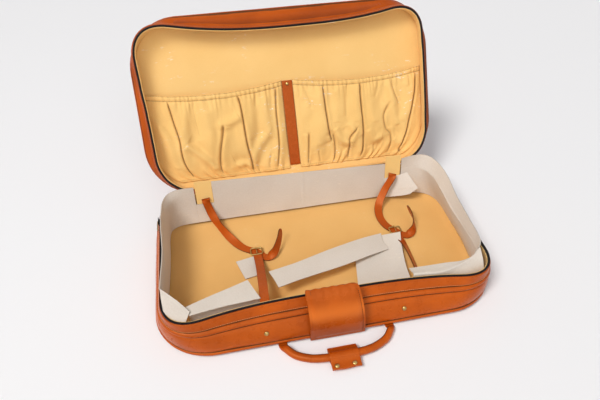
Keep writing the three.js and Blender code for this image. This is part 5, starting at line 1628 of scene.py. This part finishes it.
def fold_field(folds, across, up, width, height):
    """How deep the folds are at a place of the pocket, and how far a place lies inside a sharp pleat, which sets the
    painted shade there.
    """
    depth, crease = 0.0, 0.0
    px, py = across * width, up * height
    for line, (left, right, low, high), amount, half in folds:
        reach = 2.2 * (FOLD_SHOULDER + half)
        if not left * width - reach <= px <= right * width + reach:
            continue
        if not low * height - reach <= py <= high * height + reach:
            continue
        best, sign, end = reach, 1.0, 0.5
        last = len(line) - 1
        bx, by = line[0][0] * width, line[0][1] * height
        for k in range(last):
            ax, ay = bx, by
            bx, by = line[k + 1][0] * width, line[k + 1][1] * height
            near = best + FOLD_SHOULDER
            if min(abs(py - ay), abs(py - by)) > near or min(abs(px - ax), abs(px - bx)) > near:
                continue
            dx, dy = bx - ax, by - ay
            t = clamp(((px - ax) * dx + (py - ay) * dy) / max(dx * dx + dy * dy, 1e-12))
            away = math.hypot(px - ax - dx * t, py - ay - dy * t)
            if away < best:
                best = away
                sign = 1.0 if (px - ax) * dy - (py - ay) * dx > 0 else -1.0
                end = (k + t) / last
        if best >= reach:
            continue
        taper = ease(min(end, 1 - end) / 0.12 + 0.35)
        lean = 0.3 * sign * (best / 0.008) * hump(best, 0.012)
        depth += amount * taper * (hump(best, half) - 0.5 * hump(best, FOLD_SHOULDER + half) - lean)
        sharp = clamp((amount - 0.002) / 0.004)
        crease = max(crease, taper * sharp * hump(best, min(half, 0.0022) * 0.68))
    return depth, crease


def make_pocket(name, side, pleats, ridges):
    """A gathered half: an elastic casing at the mouth, long folds down the cloth, and tucks at the foot seam."""
    inner = STRIP_WIDTH / 2 + 4 * CLEARANCE
    height = POCKET_MOUTH - POCKET_FOOT
    pleats, ridges = prepared(pleats), prepared(ridges, -1)
    crease_shades = []

    def swing(amount, place, seed):
        return amount * wander(place, 1.0, seed)

    def place(level, across):
        middle = math.sin(math.pi * clamp(across))
        sag = 0.040 - 0.075 * middle**0.8 + swing(0.006, (across * 9, 0, side), 4.0)
        mouth = POCKET_MOUTH + height * sag
        distance = lerp(POCKET_FOOT, mouth, level)
        up = (distance - POCKET_FOOT) / height
        from_mouth = mouth - distance
        x = lerp(inner, pocket_reach(distance), across)
        rise = math.sin(min(2 * up, 1) * math.pi / 2) * lerp(1, POCKET_MOUTH_SHARE, clamp(up) ** 2)
        gape = POCKET_GAPE * rise * middle**0.5 if 0 < across < 1 else 0.0
        width = pocket_reach(distance) - inner
        depth, crease = fold_field(pleats, across, up, width, height)
        raised, _ = fold_field(ridges, across, up, width, height)
        below = ease((from_mouth - 0.0085) / 0.007)
        strength = 0.35 + 1.3 * abs(swing(1, (across * 11, 3 * side, 0), 2.0))
        gathers = math.sin(2 * math.pi * (GATHERS * across + swing(1.5, (across * 7, side, 0), 1.0)))
        gathers += swing(0.8, (across * 55, side, 0), 3.0)
        reach = 0.013 + 0.026 * abs(swing(1, (across * 19, side, 5), 6.0))
        ripple = GATHER_RISE * strength * gathers * hump(max(from_mouth - SEAM_BELOW_MOUTH, 0), reach)
        casing = SEAM_DIP * hump(from_mouth - SEAM_BELOW_MOUTH, 0.0014)
        casing -= CASING_RISE * math.sin(math.pi * clamp(from_mouth / CASING_WIDTH))
        tucks = TUCK_RISE * math.sin(2 * math.pi * (TUCKS * across + swing(1.3, (across * 6, 0, side), 7.0)))
        tucks *= hump(up - 0.02, 0.10)
        soft = 0.0042 * wander((x * 1.5, distance * 0.75, 0), 22, side * 3.0)
        soft += 0.0012 * wander((x, distance * 0.5, 0), 70, side)
        inside = min(gape / 0.004, 1) if up > 0.04 else 0.4
        out = gape - (depth + raised + soft) * below * inside - (ripple + casing) * inside - tucks
        from_edge = FLAT_INSET - panel_inset(x, HALF_DEPTH - distance)
        back = POCKET_BACK - EDGE_LIFT * clamp(from_edge / (FLAT_INSET - PANEL_EDGE_INSET))
        # Painted shade in the sharp pleats, and dark seam lines at the casing and the foot, go into one point
        # attribute.
        dots = 0.35 * hump(from_mouth - 0.0103, 0.0008) + 0.3 * hump(up - 0.02, 0.006)
        crease_shades.append(max(crease * below, dots))
        return place_in(LID, side * x, HALF_DEPTH - distance, back - max(out, THINNEST_OUT))

    rows = grid_of(*POCKET_STEPS, place)
    piece = grid_object(f"{name}_cloth", rows)
    layer = piece.data.attributes.new("Crease shade", "FLOAT", "POINT")
    for index, value in enumerate(crease_shades):
        layer.data[index].value = value
    thicken(piece, POCKET_CLOTH_THICKNESS)
    settle(piece, POCKET_CLOTH, "lid", name)
    return rows


def make_pocket_seams(name, rows):
    """Two rows of stitches along the casing of a pocket's mouth."""
    toward = place_in(LID, 0, 0, 0) - place_in(LID, 0, 0, 1)
    pieces = []
    for level in CASING_SEAMS:
        i = round(level * (len(rows) - 1))
        normals = [grid_normal(rows, i, j) for j in range(len(rows[i]))]
        ups = [up if up.dot(toward) >= 0 else -up for up in normals]
        line = [here + up * 0.0005 for here, up in zip(rows[i], ups)]
        pieces.append(repeated("seam_row", line, POCKET_STITCH_PITCH, stitch, ups))
    settle(join(f"{name}_seams", pieces), SEAM_THREAD, "lid")


def make_centre_strip():
    """The hide strip between the pockets, with a rounded upper end."""
    half = STRIP_WIDTH / 2

    def place(up, across):
        distance, x = lerp(STRIP_FOOT, STRIP_TOP, up), lerp(-half, half, across)
        lift = 0.0011 * math.sin(math.pi * clamp((up - 0.05) / 0.9)) + 0.0003 * wander((x, distance, 0), 30, 1.0)
        return place_in(LID, x, HALF_DEPTH - distance, LID_DEPTH - FLOOR_ABOVE - CLEARANCE - 0.001 - lift)

    piece = grid_object("centre_strip_hide", grid_of(40, 10, place))
    thicken(piece, LEATHER)
    round_edges(piece, SMALL_ROUND)
    settle(piece, TAN_DEEP, "lid", "centre_strip", angle=50)


make_pocket_seams("pocket_left", make_pocket("pocket_left", -1, LEFT_PLEATS, LEFT_RIDGES))
make_pocket_seams("pocket_right", make_pocket("pocket_right", 1, RIGHT_PLEATS, RIGHT_RIDGES))
make_centre_strip()


# Hidden boards keep their solids
for board_node in ("base_panel_board", "lid_panel_board"):
    dress_node(board_node, FIBRE)


# Floor, light and camera
FLOOR_COLOUR = (0.90, 0.897, 0.905)
SOFT_LIGHT = (0.98, 0.98, 1.0)
SOFT_STRENGTH = 0.285
WHITE_SURROUND = (0.90, 0.89, 0.90)

def make_floor():
    bpy.ops.mesh.primitive_plane_add(size=30, location=(0, 0, -0.0002))
    floor = bpy.context.object
    floor.name = "studio_floor"
    material, tree, shader, _ = new_material("Studio floor")
    feed(tree, shader, {"Base Color": FLOOR_COLOUR, "Roughness": 0.9})
    floor.data.materials.append(material)


def add_lamp(name, kind, place, target, **settings):
    data = bpy.data.lights.new(name, kind)
    for key, value in settings.items():
        setattr(data, key, value)
    lamp = bpy.data.objects.new(name, data)
    lamp.location = place
    lamp.rotation_euler = (Vector(target) - Vector(place)).to_track_quat("-Z", "Y").to_euler()
    scene.collection.objects.link(lamp)


def make_light():
    """A white surround, two wide soft sources far off that light all of the floor, and a near disk."""
    world = bpy.data.worlds.new("Studio")
    world.use_nodes = True
    scene.world = world
    tree = world.node_tree
    tree.nodes.clear()
    soft = add_node(tree, "ShaderNodeBackground", {"Color": SOFT_LIGHT, "Strength": SOFT_STRENGTH})
    white = add_node(tree, "ShaderNodeBackground", {"Color": WHITE_SURROUND, "Strength": 1.0})
    path = add_node(tree, "ShaderNodeLightPath")
    seen = maths(tree, "MAXIMUM", path.outputs["Is Camera Ray"], path.outputs["Is Glossy Ray"])
    mixed = add_node(tree, "ShaderNodeMixShader", {0: seen, 1: soft.outputs[0], 2: white.outputs[0]})
    add_node(tree, "ShaderNodeOutputWorld", {"Surface": mixed.outputs[0]})
    far = {"target": (0, 0, 0), "color": (1.0, 0.99, 0.98)}
    add_lamp("Broad", "SUN", (-1.2, -0.8, 2.1), energy=1.7, angle=math.radians(20), **far)
    add_lamp("Front", "SUN", (0.05, -1.7, 1.3), energy=0.75, angle=math.radians(50), **far)
    add_lamp("Key", "AREA", (-1.0, -0.8, 2.0), (0, 0.05, 0.05),
             shape="DISK", size=0.7, energy=8, color=(1.0, 0.985, 0.97))


def make_camera():
    data = bpy.data.cameras.new("Camera")
    data.sensor_fit = "HORIZONTAL"
    data.sensor_width = SENSOR_WIDTH
    data.lens = FOCAL_PIXELS / FRAME_PIXELS * SENSOR_WIDTH
    data.clip_start = 0.01
    camera = bpy.data.objects.new("Camera", data)
    camera.location = CAMERA_PLACE
    camera.rotation_euler = CAMERA_TURN
    scene.collection.objects.link(camera)
    scene.camera = camera


make_floor()
make_light()
make_camera()
scene.view_settings.view_transform = "Standard"
